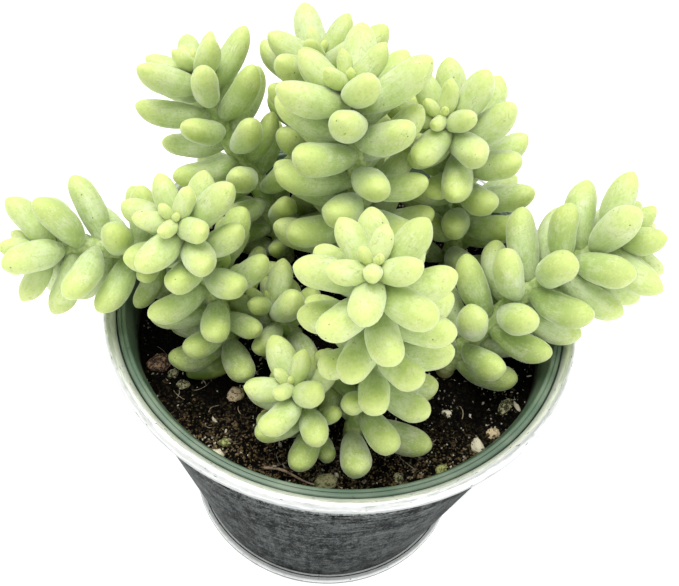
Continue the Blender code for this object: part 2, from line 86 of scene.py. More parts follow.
class Socket:
    """A node's output. Expressions on sockets and numbers add the Math nodes that work them out."""

    def __init__(self, graph: Graph, output: bpy.types.NodeSocket) -> None:
        """Wraps one output of a node in the graph."""
        self.graph = graph
        self.output = output

    def maths(self, operation: str, *values: Value, clamp: bool = False) -> Socket:
        """The result of one Math node, kept between 0 and 1 if clamp is set."""
        settings = {"operation": operation, "use_clamp": clamp}
        return self.graph.node("ShaderNodeMath", settings, dict(enumerate(values)))

    def __add__(self, other: Value) -> Socket:
        """self + other."""
        return self.maths("ADD", self, other)

    def __radd__(self, other: Value) -> Socket:
        """other + self."""
        return self.maths("ADD", other, self)

    def __sub__(self, other: Value) -> Socket:
        """self - other."""
        return self.maths("SUBTRACT", self, other)

    def __rsub__(self, other: Value) -> Socket:
        """other - self."""
        return self.maths("SUBTRACT", other, self)

    def __mul__(self, other: Value) -> Socket:
        """self * other."""
        return self.maths("MULTIPLY", self, other)

    def __rmul__(self, other: Value) -> Socket:
        """other * self."""
        return self.maths("MULTIPLY", other, self)

    def __truediv__(self, other: Value) -> Socket:
        """self / other."""
        return self.maths("DIVIDE", self, other)

    def __rtruediv__(self, other: Value) -> Socket:
        """other / self."""
        return self.maths("DIVIDE", other, self)

    def __pow__(self, other: Value) -> Socket:
        """self to the power of other."""
        return self.maths("POWER", self, other)

    def __rpow__(self, other: Value) -> Socket:
        """other to the power of self."""
        return self.maths("POWER", other, self)

    def clamped(self) -> Socket:
        """This value kept between 0 and 1."""
        return self.maths("ADD", self, 0.0, clamp=True)

    def rise(self, start: float, end: float) -> Socket:
        """A smooth step from 0 at start to 1 at end. It falls instead where start is above end."""
        share = ((self - start) / (end - start)).clamped()
        return share * share * (3.0 - 2.0 * share)


Value = Socket | float


class Graph:
    """The nodes of one material."""

    def __init__(self, name: str) -> None:
        """Starts a material with a Principled shader.

        Args:
            name: the material's name.
        """
        self.material = bpy.data.materials.new(name)
        self.material.use_nodes = True
        self.tree = self.material.node_tree
        self.shader = self.tree.nodes["Principled BSDF"]

    def plug(self, target: bpy.types.NodeSocket, value: Value | Colour | Vector) -> None:
        """Links a socket to a value, or sets the value on the socket itself.

        Args:
            target: the input that takes the value.
            value: a wrapped output, a number, a colour or a vector.
        """
        if isinstance(value, Socket):
            self.tree.links.new(value.output, target)
        elif target.type == "RGBA":
            target.default_value = (*value, 1.0)
        else:
            target.default_value = value

    def node(self, kind: str, settings: dict, sockets: dict, output: int | str = 0) -> Socket:
        """Adds a node.

        Args:
            kind: the node's type.
            settings: its properties, set first. "stops" are a ramp's positions and colours.
            sockets: values or links of its inputs, by name or number.
            output: which of its outputs is wanted.

        Returns:
            That output.
        """
        made = self.tree.nodes.new(kind)
        for key, value in settings.items():
            if key == "stops":
                self.set_stops(made.color_ramp, value)
            else:
                setattr(made, key, value)
        for key, value in sockets.items():
            self.plug(made.inputs[key], value)
        return Socket(self, made.outputs[output])

    @staticmethod
    def set_stops(ramp: bpy.types.ColorRamp, stops: list[tuple[float, Colour]]) -> None:
        """Gives a colour ramp its stops.

        Args:
            ramp: the ramp of a new Color Ramp node.
            stops: positions in rising order, each with its colour.
        """
        while len(ramp.elements) < len(stops):
            ramp.elements.new(1.0)
        for element, (position, colour) in zip(ramp.elements, stops):
            element.position = position
            element.color = (*colour, 1.0)

    def attribute(self, name: str, output: str = "Fac") -> Socket:
        """A value that the mesh carries at each point."""
        return self.node("ShaderNodeAttribute", {"attribute_name": name}, {}, output)

    def place(self) -> Socket:
        """Where the point lies in the piece's own frame, in metres."""
        return self.node("ShaderNodeTexCoord", {}, {}, "Object")

    def parts(self, vector: Socket) -> tuple[Socket, Socket, Socket]:
        """The x, y and z of a vector."""
        made = self.node("ShaderNodeSeparateXYZ", {}, {"Vector": vector}).output.node
        return tuple(Socket(self, made.outputs[k]) for k in range(3))

    def vector(self, x: Value, y: Value, z: Value) -> Socket:
        """A vector from its three coordinates."""
        return self.node("ShaderNodeCombineXYZ", {}, {0: x, 1: y, 2: z})

    def stretched(self, vector: Socket, scale: tuple[float, float, float]) -> Socket:
        """A vector with each coordinate multiplied by its own scale."""
        return self.node("ShaderNodeVectorMath", {"operation": "MULTIPLY"}, {0: vector, 1: scale})

    def noise(self, vector: Socket, scale: float, detail: float = 2.0, rough: float = 0.5) -> Socket:
        """Smooth noise near 0.5. Detail is how many finer octaves it has, and rough is their strength."""
        sockets = {"Vector": vector, "Scale": scale, "Detail": detail, "Roughness": rough}
        return self.node("ShaderNodeTexNoise", {"noise_dimensions": "3D"}, sockets, "Fac")

    def cells(self, vector: Socket, scale: float, output: str = "Distance") -> Socket:
        """One output of Voronoi cells, with as many cells in a unit of the vector as scale says."""
        return self.node("ShaderNodeTexVoronoi", {}, {"Vector": vector, "Scale": scale}, output)

    def mix(self, factor: Value, first: Socket | Colour, second: Socket | Colour) -> Socket:
        """A colour between two others. A factor of 0 gives the first and 1 the second."""
        return self.node("ShaderNodeMix", {"data_type": "RGBA"}, {0: factor, 6: first, 7: second}, 2)

    def bump(self, height: Socket, strength: float, distance: float) -> Socket:
        """A surface normal that follows a height, where 1 stands as many metres high as distance says."""
        return self.node("ShaderNodeBump", {}, {"Strength": strength, "Distance": distance, "Height": height})

    def finish(self, **sockets: Value | Colour | Vector) -> bpy.types.Material:
        """Sets the shader's inputs.

        Args:
            sockets: their values or links, named with underscores for spaces.

        Returns:
            The finished material.
        """
        for name, value in sockets.items():
            self.plug(self.shader.inputs[name.replace("_", " ")], value)
        return self.material


# Finishes


@dataclass(frozen=True)
class LeafFinish:
    """A plump matte leaf under a powdery bloom, yellower at the tip and more blue-green near the stem."""

    base: Colour = (0.36, 0.48, 0.18)
    middle: Colour = (0.475, 0.615, 0.24)
    tip: Colour = (0.59, 0.69, 0.23)
    young: Colour = (0.67, 0.74, 0.30)
    bloom: Colour = (0.76, 0.80, 0.62)
    shade_green: Colour = (0.26, 0.36, 0.07)
    speck: Colour = (0.17, 0.19, 0.06)
    low: float = 84 * MM  # painted shade: leaves under this height are drawn darker green
    high: float = 104 * MM  # and over this one they are not

    def material(self) -> bpy.types.Material:
        """The leaves' material.

        Returns:
            The material. It reads along, young, tone, sun and leaf_place, which the meshes carry.
        """
        graph = Graph("leaf")
        along, young, tone, sun = (graph.attribute(name) for name in ("along", "young", "tone", "sun"))
        place = graph.attribute("leaf_place", "Vector")
        height = graph.parts(graph.place())[2]
        patches = graph.noise(place, 0.30, 3.0, 0.55)
        streaks = graph.noise(graph.stretched(place, (1.0, 1.0, 0.12)), 2.6, 2.0)
        powder = graph.noise(place, 2.4, 3.0, 0.6)
        mottle = graph.noise(place, 1.0, 4.0, 0.68)
        stops = [(0.0, self.base), (0.45, self.middle), (0.9, self.tip), (1.0, self.tip)]
        # painted sunlight: sun moves the leaves of sunlit shoots towards the yellow tip colour
        reach = (along + (patches - 0.5) * 0.6 + (sun - 0.5) * 0.45).clamped()
        colour = graph.node("ShaderNodeValToRGB", {"stops": stops}, {"Fac": reach})
        # young leaves are brighter yellow-green, and painted sunlight adds to it on sunlit shoots
        colour = graph.mix((young * 0.85 + (sun - 0.5) * 0.3).clamped(), colour, self.young)
        # painted shade: leaves low in the plant, under the others, turn darker green; some leaves also get a
        # random darker tone
        shade = height.rise(self.high, self.low) * 0.5 + tone.rise(0.3, 0.0) * 0.25
        colour = graph.mix(shade.clamped(), colour, self.shade_green)
        colour = graph.mix(mottle.rise(0.50, 0.34) * 0.3, colour, self.base)
        cover = (patches - 0.5) * 2.0 + (streaks - 0.5) * 1.2 + (powder - 0.5) * 1.1 + (mottle - 0.5) * 0.9
        cover = cover + (tone - 0.5) * 0.4 + 0.46
        # painted sunlight also thins the bloom
        cover = cover - along.rise(0.55, 0.95) * 0.35 - sun * 0.2
        colour = graph.mix((cover * (1.05 - young * 0.8)).clamped() * 0.72, colour, self.bloom)
        blotch = along.rise(0.82, 0.97) * patches.rise(0.36, 0.6)
        colour = graph.mix(blotch * 0.55, colour, self.tip)
        dapple = powder.rise(0.52, 0.66) * along.rise(0.5, 0.9)
        colour = graph.mix(dapple * 0.4, colour, self.young)
        dots = graph.cells(place, 0.36)
        colour = graph.mix(dots.rise(0.085, 0.05) * tone.rise(0.4, 0.6) * 0.8, colour, self.speck)
        folds = graph.noise(graph.stretched(place, (1.0, 1.0, 0.45)), 0.42, 2.0) - 0.5
        crease = folds.maths("ABSOLUTE", folds).rise(0.014, 0.0) * patches.rise(0.52, 0.6)
        # painted shade: the creases are darkened
        colour = graph.mix(crease * 0.4, colour, self.shade_green)
        relief = (streaks - 0.5) * 0.5 + (powder - 0.5) * 0.4 + (patches - 0.5) * 1.0 - crease * 0.5
        return graph.finish(
            Base_Color=colour,
            Roughness=0.42 + powder * 0.22,
            Specular_IOR_Level=0.4,
            Subsurface_Weight=0.4,
            Subsurface_Radius=(1.0, 1.1, 0.4),
            Subsurface_Scale=2.2 * MM,
            Sheen_Weight=0.8,
            Sheen_Roughness=0.32,
            Sheen_Tint=(0.96, 1.0, 0.88),
            Normal=graph.bump(relief + (mottle - 0.5) * 0.7, 0.55, 0.2 * MM),
        )


@dataclass(frozen=True)
class StemFinish:
    """A fleshy green stem with paler leaf scars, browner where it meets the soil."""

    green: Colour = (0.33, 0.46, 0.14)
    pale: Colour = (0.52, 0.60, 0.27)
    brown: Colour = (0.25, 0.20, 0.09)
    stain: float = 6 * MM  # how high the soil browns it

    def material(self) -> bpy.types.Material:
        """The stems' material.

        Returns:
            The material.
        """
        graph = Graph("stem")
        place = graph.place()
        height = graph.parts(place)[2]
        mottle = graph.noise(place, 900.0, 3.0)
        scars = graph.cells(place, 420.0)
        colour = graph.mix(mottle.rise(0.4, 0.62), self.green, self.pale)
        colour = graph.mix(scars.rise(0.22, 0.12) * 0.6, colour, self.pale)
        soil_line = (height - SoilBed.level) / self.stain + (mottle - 0.5) * 1.2
        colour = graph.mix(soil_line.rise(0.9, 0.1) * 0.7, colour, self.brown)
        return graph.finish(
            Base_Color=colour,
            Roughness=0.5 + mottle * 0.15,
            Subsurface_Weight=0.15,
            Subsurface_Radius=(1.0, 1.1, 0.35),
            Subsurface_Scale=1.0 * MM,
            Normal=graph.bump(mottle - scars.rise(0.2, 0.1) * 0.5, 0.5, 0.2 * MM),
        )


class Zinc(Enum):
    """The galvanised pot's zones, in the order of its material slots."""

    ROLL = 0
    NECK = 1
    BAND = 2
    WALL = 3
    FOOT = 4
    SEAM = 5


@dataclass(frozen=True)
class ZincFinish:
    """Galvanised sheet: satin bright where it is rolled, dull and mottled on the wall."""

    bright: Colour = (0.86, 0.87, 0.85)
    wear_and_reflection_grey: Colour = (0.40, 0.42, 0.40)
    streak_and_shading_grey: Colour = (0.28, 0.30, 0.295)
    dull: Colour = (0.125, 0.138, 0.134)
    dark: Colour = (0.016, 0.019, 0.018)
    groove: Colour = (0.012, 0.013, 0.012)
    crest: tuple[float, float] = (58.4, 87.0)  # radius and height near the roll's middle, in millimetres
    mean_radius: float = 52.0  # in millimetres, for distances round the pot

    def round_the_pot(self, graph: Graph) -> tuple[Socket, Socket, Socket]:
        """Coordinates that follow the pot's surface, in millimetres.

        Args:
            graph: the material's graph.

        Returns:
            A vector of the distance round the pot, the radius and the height, then the last two alone.
        """
        x, y, z = graph.parts(graph.place())
        radius = ((x * x + y * y) ** 0.5) * TO_MM
        angle = x.maths("ARCTAN2", y, x)
        height = z * TO_MM
        return graph.vector(angle * self.mean_radius, radius, height), radius, height

    def rolled(self, name: str, crested: bool) -> bpy.types.Material:
        """Bright rolled metal with small dark nicks along it.

        Args:
            name: the material's name.
            crested: whether the metal is bright only on the crest of the roll, as a painted highlight, and
                grey to both sides, as painted shade below and a painted reflection above.

        Returns:
            The material.
        """
        graph = Graph(name)
        surface, radius, height = self.round_the_pot(graph)
        cloud = graph.noise(surface, 0.22, 3.0)
        nicks = graph.noise(graph.stretched(surface, (0.45, 2.4, 2.4)), 1.3, 1.0)
        grain = graph.noise(graph.stretched(surface, (0.16, 3.0, 3.0)), 2.2, 2.0)
        colour = graph.mix(cloud.rise(0.4, 0.7) * 0.3, self.bright, self.wear_and_reflection_grey)
        colour = graph.mix(grain.rise(0.56, 0.72) * 0.4, colour, self.wear_and_reflection_grey)
        if crested:
            turn = height.maths("ARCTAN2", height - self.crest[1], radius - self.crest[0])
            wander = (grain - 0.5) * 1.2 + (cloud - 0.5) * 0.8
            edge = turn + wander
            # painted reflection: a greyer band along the top of the roll
            flat = edge.rise(1.1, 1.35) * edge.rise(1.95, 1.65)
            colour = graph.mix(flat * 0.7, colour, self.wear_and_reflection_grey)
            # painted shade: grey on the underside of the roll
            colour = graph.mix(edge.rise(0.6, 0.05) * 0.8, colour, self.streak_and_shading_grey)
        colour = graph.mix(nicks.rise(0.715, 0.75) * grain.rise(0.35, 0.5), colour, self.dark)
        return graph.finish(
            Base_Color=colour,
            Metallic=0.55 if crested else 0.2,
            Roughness=0.25 + cloud * 0.2,
            Normal=graph.bump(grain - nicks.rise(0.71, 0.75) * 1.5, 0.3, 0.08 * MM),
        )

    def neck(self) -> bpy.types.Material:
        """Plain dull sheet with fine upright marks.

        Returns:
            The material.
        """
        graph = Graph("zinc_neck")
        surface, _, height = self.round_the_pot(graph)
        marks = graph.noise(graph.stretched(surface, (1.0, 0.5, 0.3)), 1.6, 3.0, 0.6)
        cloud = graph.noise(surface, 0.12, 2.0)
        colour = graph.mix(marks.rise(0.3, 0.7), self.dark, self.streak_and_shading_grey)
        colour = graph.mix(cloud.rise(0.4, 0.7) * 0.5, colour, self.dull)
        # painted shade: darker towards the top, under the roll
        colour = graph.mix(height.rise(83.5, 85.6) * 0.7, colour, self.dark)
        return graph.finish(
            Base_Color=colour,
            Metallic=0.7,
            Roughness=0.46 + marks * 0.15,
            Normal=graph.bump(marks, 0.25, 0.08 * MM),
        )

    def wall(self, brushed: bool) -> bpy.types.Material:
        """Mottled sheet with faint drips.

        Args:
            brushed: whether it also has the broken lines that run round the pot.

        Returns:
            The material.
        """
        graph = Graph("zinc_band" if brushed else "zinc_wall")
        surface, _, height = self.round_the_pot(graph)
        blotches = graph.noise(surface, 0.13, 4.0, 0.62)
        mottle = graph.noise(surface, 0.55, 4.0, 0.65)
        drips = graph.noise(graph.stretched(surface, (1.0, 0.3, 0.2)), 0.5, 3.0, 0.6)
        wipes = graph.noise(graph.stretched(surface, (0.12, 0.5, 1.0)), 0.7, 4.0, 0.65)
        grain = graph.noise(surface, 2.3, 2.0, 0.6)
        tone = (blotches - 0.5) * 3.2 + (mottle - 0.5) * 3.4 + (drips - 0.5) * 2.2 + (wipes - 0.5) * 2.4
        tone = tone + (grain - 0.5) * 6.0 + 0.42
        colour = graph.mix(tone.clamped(), self.dark, self.dull)
        # painted light: paler towards -X, as though lit from that side
        lit = graph.parts(graph.place())[0].rise(-24 * MM, -44 * MM)
        colour = graph.mix(lit * (0.25 + tone.clamped() * 0.4), colour, self.streak_and_shading_grey)
        pale = mottle.rise(0.57, 0.66) * 0.5 + wipes.rise(0.58, 0.68) * 0.35 + grain.rise(0.6, 0.7) * 0.6
        colour = graph.mix(pale.clamped() * 0.75, colour, self.streak_and_shading_grey)
        relief = mottle * 0.5 + drips * 0.5
        if brushed:
            lines = graph.noise(graph.stretched(surface, (0.05, 0.5, 2.2)), 1.3, 2.0, 0.6)
            broken = graph.noise(graph.stretched(surface, (0.5, 0.4, 1.2)), 0.8, 4.0, 0.7)
            fade = height.rise(BRUSH_FOOT, BRUSH_FOOT + 7.0)
            wear = lines.rise(0.5, 0.62) * broken.rise(0.42, 0.6) * fade
            colour = graph.mix(wear * 0.45, colour, self.wear_and_reflection_grey)
            relief = relief - wear * 0.5
        return graph.finish(
            Base_Color=colour,
            Metallic=0.9,
            Roughness=0.42 + mottle * 0.2,
            Specular_IOR_Level=0.1,
            Specular_Tint=(0.38, 0.38, 0.38),
            Normal=graph.bump(relief + grain * 0.4, 0.5, 0.16 * MM),
        )

    def seam(self) -> bpy.types.Material:
        """The dark lines on and above the foot ring.

        Returns:
            The material.
        """
        graph = Graph("zinc_seam")
        grain = graph.noise(graph.place(), 700.0, 2.0)
        return graph.finish(
            Base_Color=graph.mix(grain.rise(0.3, 0.7), self.groove, self.dark), Metallic=0.4, Roughness=0.6
        )

    def materials(self) -> list[bpy.types.Material]:
        """The pot's materials.

        Returns:
            A material for each zone, in the zones' order.
        """
        made = {
            Zinc.ROLL: self.rolled("zinc_roll", crested=True),
            Zinc.NECK: self.neck(),
            Zinc.BAND: self.wall(brushed=True),
            Zinc.WALL: self.wall(brushed=False),
            Zinc.FOOT: self.rolled("zinc_foot", crested=False),
            Zinc.SEAM: self.seam(),
        }
        return [made[zone] for zone in Zinc]


@dataclass(frozen=True)
class PlasticFinish:
    """Satin green moulded plastic, dusty where the soil has touched it."""

    green: Colour = (0.090, 0.148, 0.100)
    pale: Colour = (0.172, 0.232, 0.166)
    dust: Colour = (0.055, 0.042, 0.03)
    splash: float = 5 * MM  # how high the soil has dusted it

    def material(self) -> bpy.types.Material:
        """The liner's material.

        Returns:
            The material.
        """
        graph = Graph("green_plastic")
        place = graph.place()
        height = graph.parts(place)[2]
        cloud = graph.noise(place, 90.0, 3.0)
        grain = graph.noise(place, 1400.0, 2.0)
        crumbs = graph.noise(place, 620.0, 3.0, 0.65)
        colour = graph.mix(cloud.rise(0.35, 0.7), self.green, self.pale)
        soil_line = (height - SoilBed.level) / self.splash + (crumbs - 0.5) * 1.6
        dirt = soil_line.rise(0.75, 0.15)
        specks = crumbs.rise(0.66, 0.72) * 0.7
        colour = graph.mix((dirt + specks).clamped() * 0.85, colour, self.dust)
        return graph.finish(
            Base_Color=colour,
            Roughness=0.33 + cloud * 0.15 + dirt * 0.35,
            Normal=graph.bump(grain * 0.3 + dirt * crumbs, 0.3, 0.12 * MM),
        )


@dataclass(frozen=True)
class PeatFinish:
    """Dark moist peat. Each crumb carries a tone: most are near black, a few are pale."""

    black: Colour = (0.002, 0.0016, 0.0012)
    brown: Colour = (0.034, 0.023, 0.013)
    rust: Colour = (0.24, 0.17, 0.085)
    pale: Colour = (0.70, 0.64, 0.50)
    sunlit_reach: tuple[float, float] = (-24.0 * MM, -42.0 * MM)  # painted sunlight: the peat is drawn lighter from the first y to the second

    def material(self) -> bpy.types.Material:
        """The peat's material.

        Returns:
            The material. It reads tone, which the meshes carry.
        """
        graph = Graph("peat")
        place, tone = graph.place(), graph.attribute("tone")
        grain = graph.noise(place, 1500.0, 3.0, 0.65)
        clods = graph.noise(place, 110.0, 3.0)
        # painted sunlight: the front of the bed, towards -Y, is lighter
        sunlit_front = graph.parts(place)[1].rise(*self.sunlit_reach)
        colours = (self.black, self.black, self.brown, self.rust, self.pale)
        stops = list(zip((0.0, 0.4, 0.62, 0.86, 0.955), colours))
        # painted sunlight lifts the tones at the front
        shift = tone + (clods - 0.5) * 1.0 + sunlit_front * 0.36 - 0.31
        level = shift.maths("MINIMUM", shift, 0.9)
        level = level.maths("MAXIMUM", level, tone.rise(0.970, 0.975))
        colour = graph.node("ShaderNodeValToRGB", {"stops": stops}, {"Fac": level})
        # painted shade: the low spots of the bumped peat are darkened, though not on the pale crumbs
        hollow_shade = grain.rise(0.6, 0.42) * tone.rise(0.975, 0.970)
        colour = graph.mix(hollow_shade * 0.85, colour, self.black)
        bits = graph.parts(graph.cells(place, 2300.0, output="Color"))
        # rust flecks, with many more where sunlight is painted at the front
        colour = graph.mix(bits[0].rise(0.6, 0.8) * (0.06 + sunlit_front * 0.84) * bits[2], colour, self.rust)
        # painted glints: scattered pale specks stand for wet highlights
        glint = bits[1].rise(0.965, 0.98) * clods.rise(0.40, 0.60)
        colour = graph.mix(glint * (0.3 + bits[2] * 0.7), colour, self.pale)
        return graph.finish(
            Base_Color=colour,
            Roughness=0.6 + grain * 0.35,
            Specular_IOR_Level=0.06,
            Normal=graph.bump(grain, 0.8, 0.5 * MM),
        )


@dataclass(frozen=True)
class GrainFinish:
    """A bit of grit: pale mineral or bark, darker in its pits."""

    name: str
    pale: Colour
    dark: Colour
    covered: float  # share of the surface that the darker colour takes
    grain: float = 1300.0

    def material(self) -> bpy.types.Material:
        """The grain's material.

        Returns:
            The material.
        """
        graph = Graph(self.name)
        place = graph.place()
        pits = graph.noise(place, self.grain, 3.0, 0.65)
        cloud = graph.noise(place, 350.0, 2.0)
        level = 0.32 + 0.36 * self.covered
        fine = graph.noise(place, self.grain * 2.2, 2.0, 0.6)
        pit_dark = (pits * 0.5 + fine * 0.3 + cloud * 0.2).rise(level + 0.045, level - 0.045)
        colour = graph.mix(pit_dark, self.pale, self.dark)
        return graph.finish(
            Base_Color=colour,
            Roughness=0.75 + pits * 0.2,
            Normal=graph.bump(pits * 0.6 + fine * 0.4, 1.0, 0.5 * MM),
        )


class Grain(Enum):
    """The kinds of grit that lie on the soil."""

    PERLITE = GrainFinish("perlite", (0.80, 0.74, 0.56), (0.36, 0.29, 0.17), 0.18)
    TAN = GrainFinish("tan_grit", (0.78, 0.63, 0.40), (0.11, 0.065, 0.03), 0.42)
    ORANGE = GrainFinish("orange_grit", (0.80, 0.54, 0.30), (0.24, 0.10, 0.04), 0.38)
    OLIVE = GrainFinish("olive_grit", (0.52, 0.48, 0.28), (0.04, 0.042, 0.018), 0.52)
    PEBBLE = GrainFinish("olive_pebble", (0.40, 0.37, 0.20), (0.12, 0.14, 0.05), 0.45, 900.0)
    BARK = GrainFinish("bark", (0.40, 0.26, 0.16), (0.045, 0.018, 0.012), 0.58)
    PUMICE = GrainFinish("pumice", (0.68, 0.60, 0.44), (0.10, 0.07, 0.04), 0.45)
    MOSSY = GrainFinish("mossy_grit", (0.50, 0.53, 0.20), (0.13, 0.14, 0.04), 0.45)
    TWIG = GrainFinish("twig", (0.50, 0.36, 0.25), (0.17, 0.10, 0.06), 0.35, 800.0)
    FIBRE = GrainFinish("root_fibre", (0.42, 0.35, 0.24), (0.14, 0.10, 0.06), 0.4, 900.0)


@dataclass(frozen=True)
class FallenLeafFinish:
    """An old leaf on the soil, dark green and moist."""

    green: Colour = (0.13, 0.20, 0.035)
    light: Colour = (0.30, 0.38, 0.10)

    def material(self) -> bpy.types.Material:
        """The fallen leaf's material.

        Returns:
            The material.
        """
        graph = Graph("fallen_leaf")
        place = graph.place()
        cloud = graph.noise(place, 260.0, 3.0)
        return graph.finish(
            Base_Color=graph.mix(cloud.rise(0.4, 0.65), self.green, self.light),
            Roughness=0.3 + cloud * 0.2,
            Subsurface_Weight=0.15,
            Subsurface_Radius=(1.0, 1.1, 0.35),
            Subsurface_Scale=1.5 * MM,
            Normal=graph.bump(cloud, 0.3, 0.2 * MM),
        )


# Meshes


def show(name: str, mesh: bpy.types.Mesh, materials: list[bpy.types.Material]) -> bpy.types.Object:
    """An object of the scene.

    Args:
        name: the piece's name.
        mesh: its mesh.
        materials: its materials, in the order of its slots.

    Returns:
        The object.
    """
    for surface in materials:
        mesh.materials.append(surface)
    made = bpy.data.objects.new(name, mesh)
    bpy.context.scene.collection.objects.link(made)
    return made


def report(piece: bpy.types.Object, slot: str, *nodes: str) -> None:
    """Puts a piece on the body and logs it.

    Args:
        piece: the piece, in place.
        slot: the record's material slot; not used.
        nodes: the solids that it stands for.
    """
    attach(piece, BODY)
    if nodes:
        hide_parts(*nodes)
    log.info("%s: %d faces, for %s", piece.name, len(piece.data.polygons), nodes or "itself")


def mesh_of(name: str, points: np.ndarray, faces: list, smooth: bool = True) -> bpy.types.Mesh:
    """A mesh from its points and faces.

    Args:
        name: the mesh's name.
        points: an array of points.
        faces: the corners of each face.
        smooth: whether it is shaded smooth.

    Returns:
        The mesh.
    """
    mesh = bpy.data.meshes.new(name)
    mesh.from_pydata(points.reshape(-1, 3).tolist(), [], faces)
    mesh.update()
    if smooth:
        mesh.shade_smooth()
    return mesh


def carry(mesh: bpy.types.Mesh, name: str, values: np.ndarray) -> None:
    """Gives a mesh a number or a vector at each point, for its material to read.

    Args:
        mesh: the mesh.
        name: the attribute's name.
        values: one number or vector a point.
    """
    kind, key = ("FLOAT", "value") if values.ndim == 1 else ("FLOAT_VECTOR", "vector")
    made = mesh.attributes.new(name, kind, "POINT")
    made.data.foreach_set(key, np.ascontiguousarray(values, np.float32).ravel())


def tube_faces(rings: int, sides: int, start: int) -> list:
    """Faces of a closed tube whose points are its rings, then one point for each of its ends.

    Args:
        rings: how many rings it has.
        sides: points in a ring.
        start: number of its first point.

    Returns:
        The corners of each face.
    """
    faces = []
    for ring in range(rings - 1):
        low, high = start + ring * sides, start + (ring + 1) * sides
        faces += [(low + k, low + (k + 1) % sides, high + (k + 1) % sides, high + k) for k in range(sides)]
    first, last = start + rings * sides, start + rings * sides + 1
    top = start + (rings - 1) * sides
    faces += [(first, start + (k + 1) % sides, start + k) for k in range(sides)]
    faces += [(last, top + k, top + (k + 1) % sides) for k in range(sides)]
    return faces


@dataclass
class Turning:
    """A turned shape. Each point of its profile has the zone of the face before it.

    Its outer side is drawn downwards, so that the faces look outwards.
    """

    steps: int
    profile: list[tuple[float, float, int]] = field(default_factory=list)

    def to(self, radius: float, height: float, zone: int = 0) -> None:
        """Draws the profile on to a point."""
        self.profile.append((radius, height, zone))

    def round(
        self, centre: tuple[float, float], radius: float, start: float, end: float, zone: int = 0
    ) -> None:
        """Draws an arc.

        Args:
            centre: its centre's radius and height.
            radius: its own radius.
            start: the angle it starts at, in degrees.
            end: the angle it ends at.
            zone: the zone of its faces.
        """
        parts = max(3, math.ceil(abs(end - start) / 9))
        for k in range(parts + 1):
            angle = math.radians(start + (end - start) * k / parts)
            self.to(centre[0] + radius * math.cos(angle), centre[1] + radius * math.sin(angle), zone)

    def mesh(self, name: str, sharp: float = 40.0) -> bpy.types.Mesh:
        """The turned mesh, with each face's zone as its material.

        Args:
            name: the mesh's name.
            sharp: edges over this angle, in degrees, stay sharp.

        Returns:
            The mesh.
        """
        angles = 2 * np.pi * np.arange(self.steps) / self.steps
        points, starts = [], []
        for radius, height, _ in self.profile:
            starts.append(len(points))
            if radius < ON_AXIS:
                points.append((0.0, 0.0, height))
            else:
                points += [(radius * math.cos(a), radius * math.sin(a), height) for a in angles]
        faces, zones = [], []
        for number in range(1, len(self.profile)):
            above, below = self.profile[number - 1], self.profile[number]
            for k in range(self.steps):
                n = (k + 1) % self.steps
                corners = [starts[number - 1] + (n if above[0] > ON_AXIS else 0)]
                if above[0] > ON_AXIS:
                    corners.append(starts[number - 1] + k)
                corners.append(starts[number] + (k if below[0] > ON_AXIS else 0))
                if below[0] > ON_AXIS:
                    corners.append(starts[number] + n)
                faces.append(corners)
                zones.append(below[2])
        mesh = mesh_of(name, np.array(points), faces)
        mesh.polygons.foreach_set("material_index", zones)
        mesh.set_sharp_from_angle(angle=math.radians(sharp))
        return mesh


# Pots


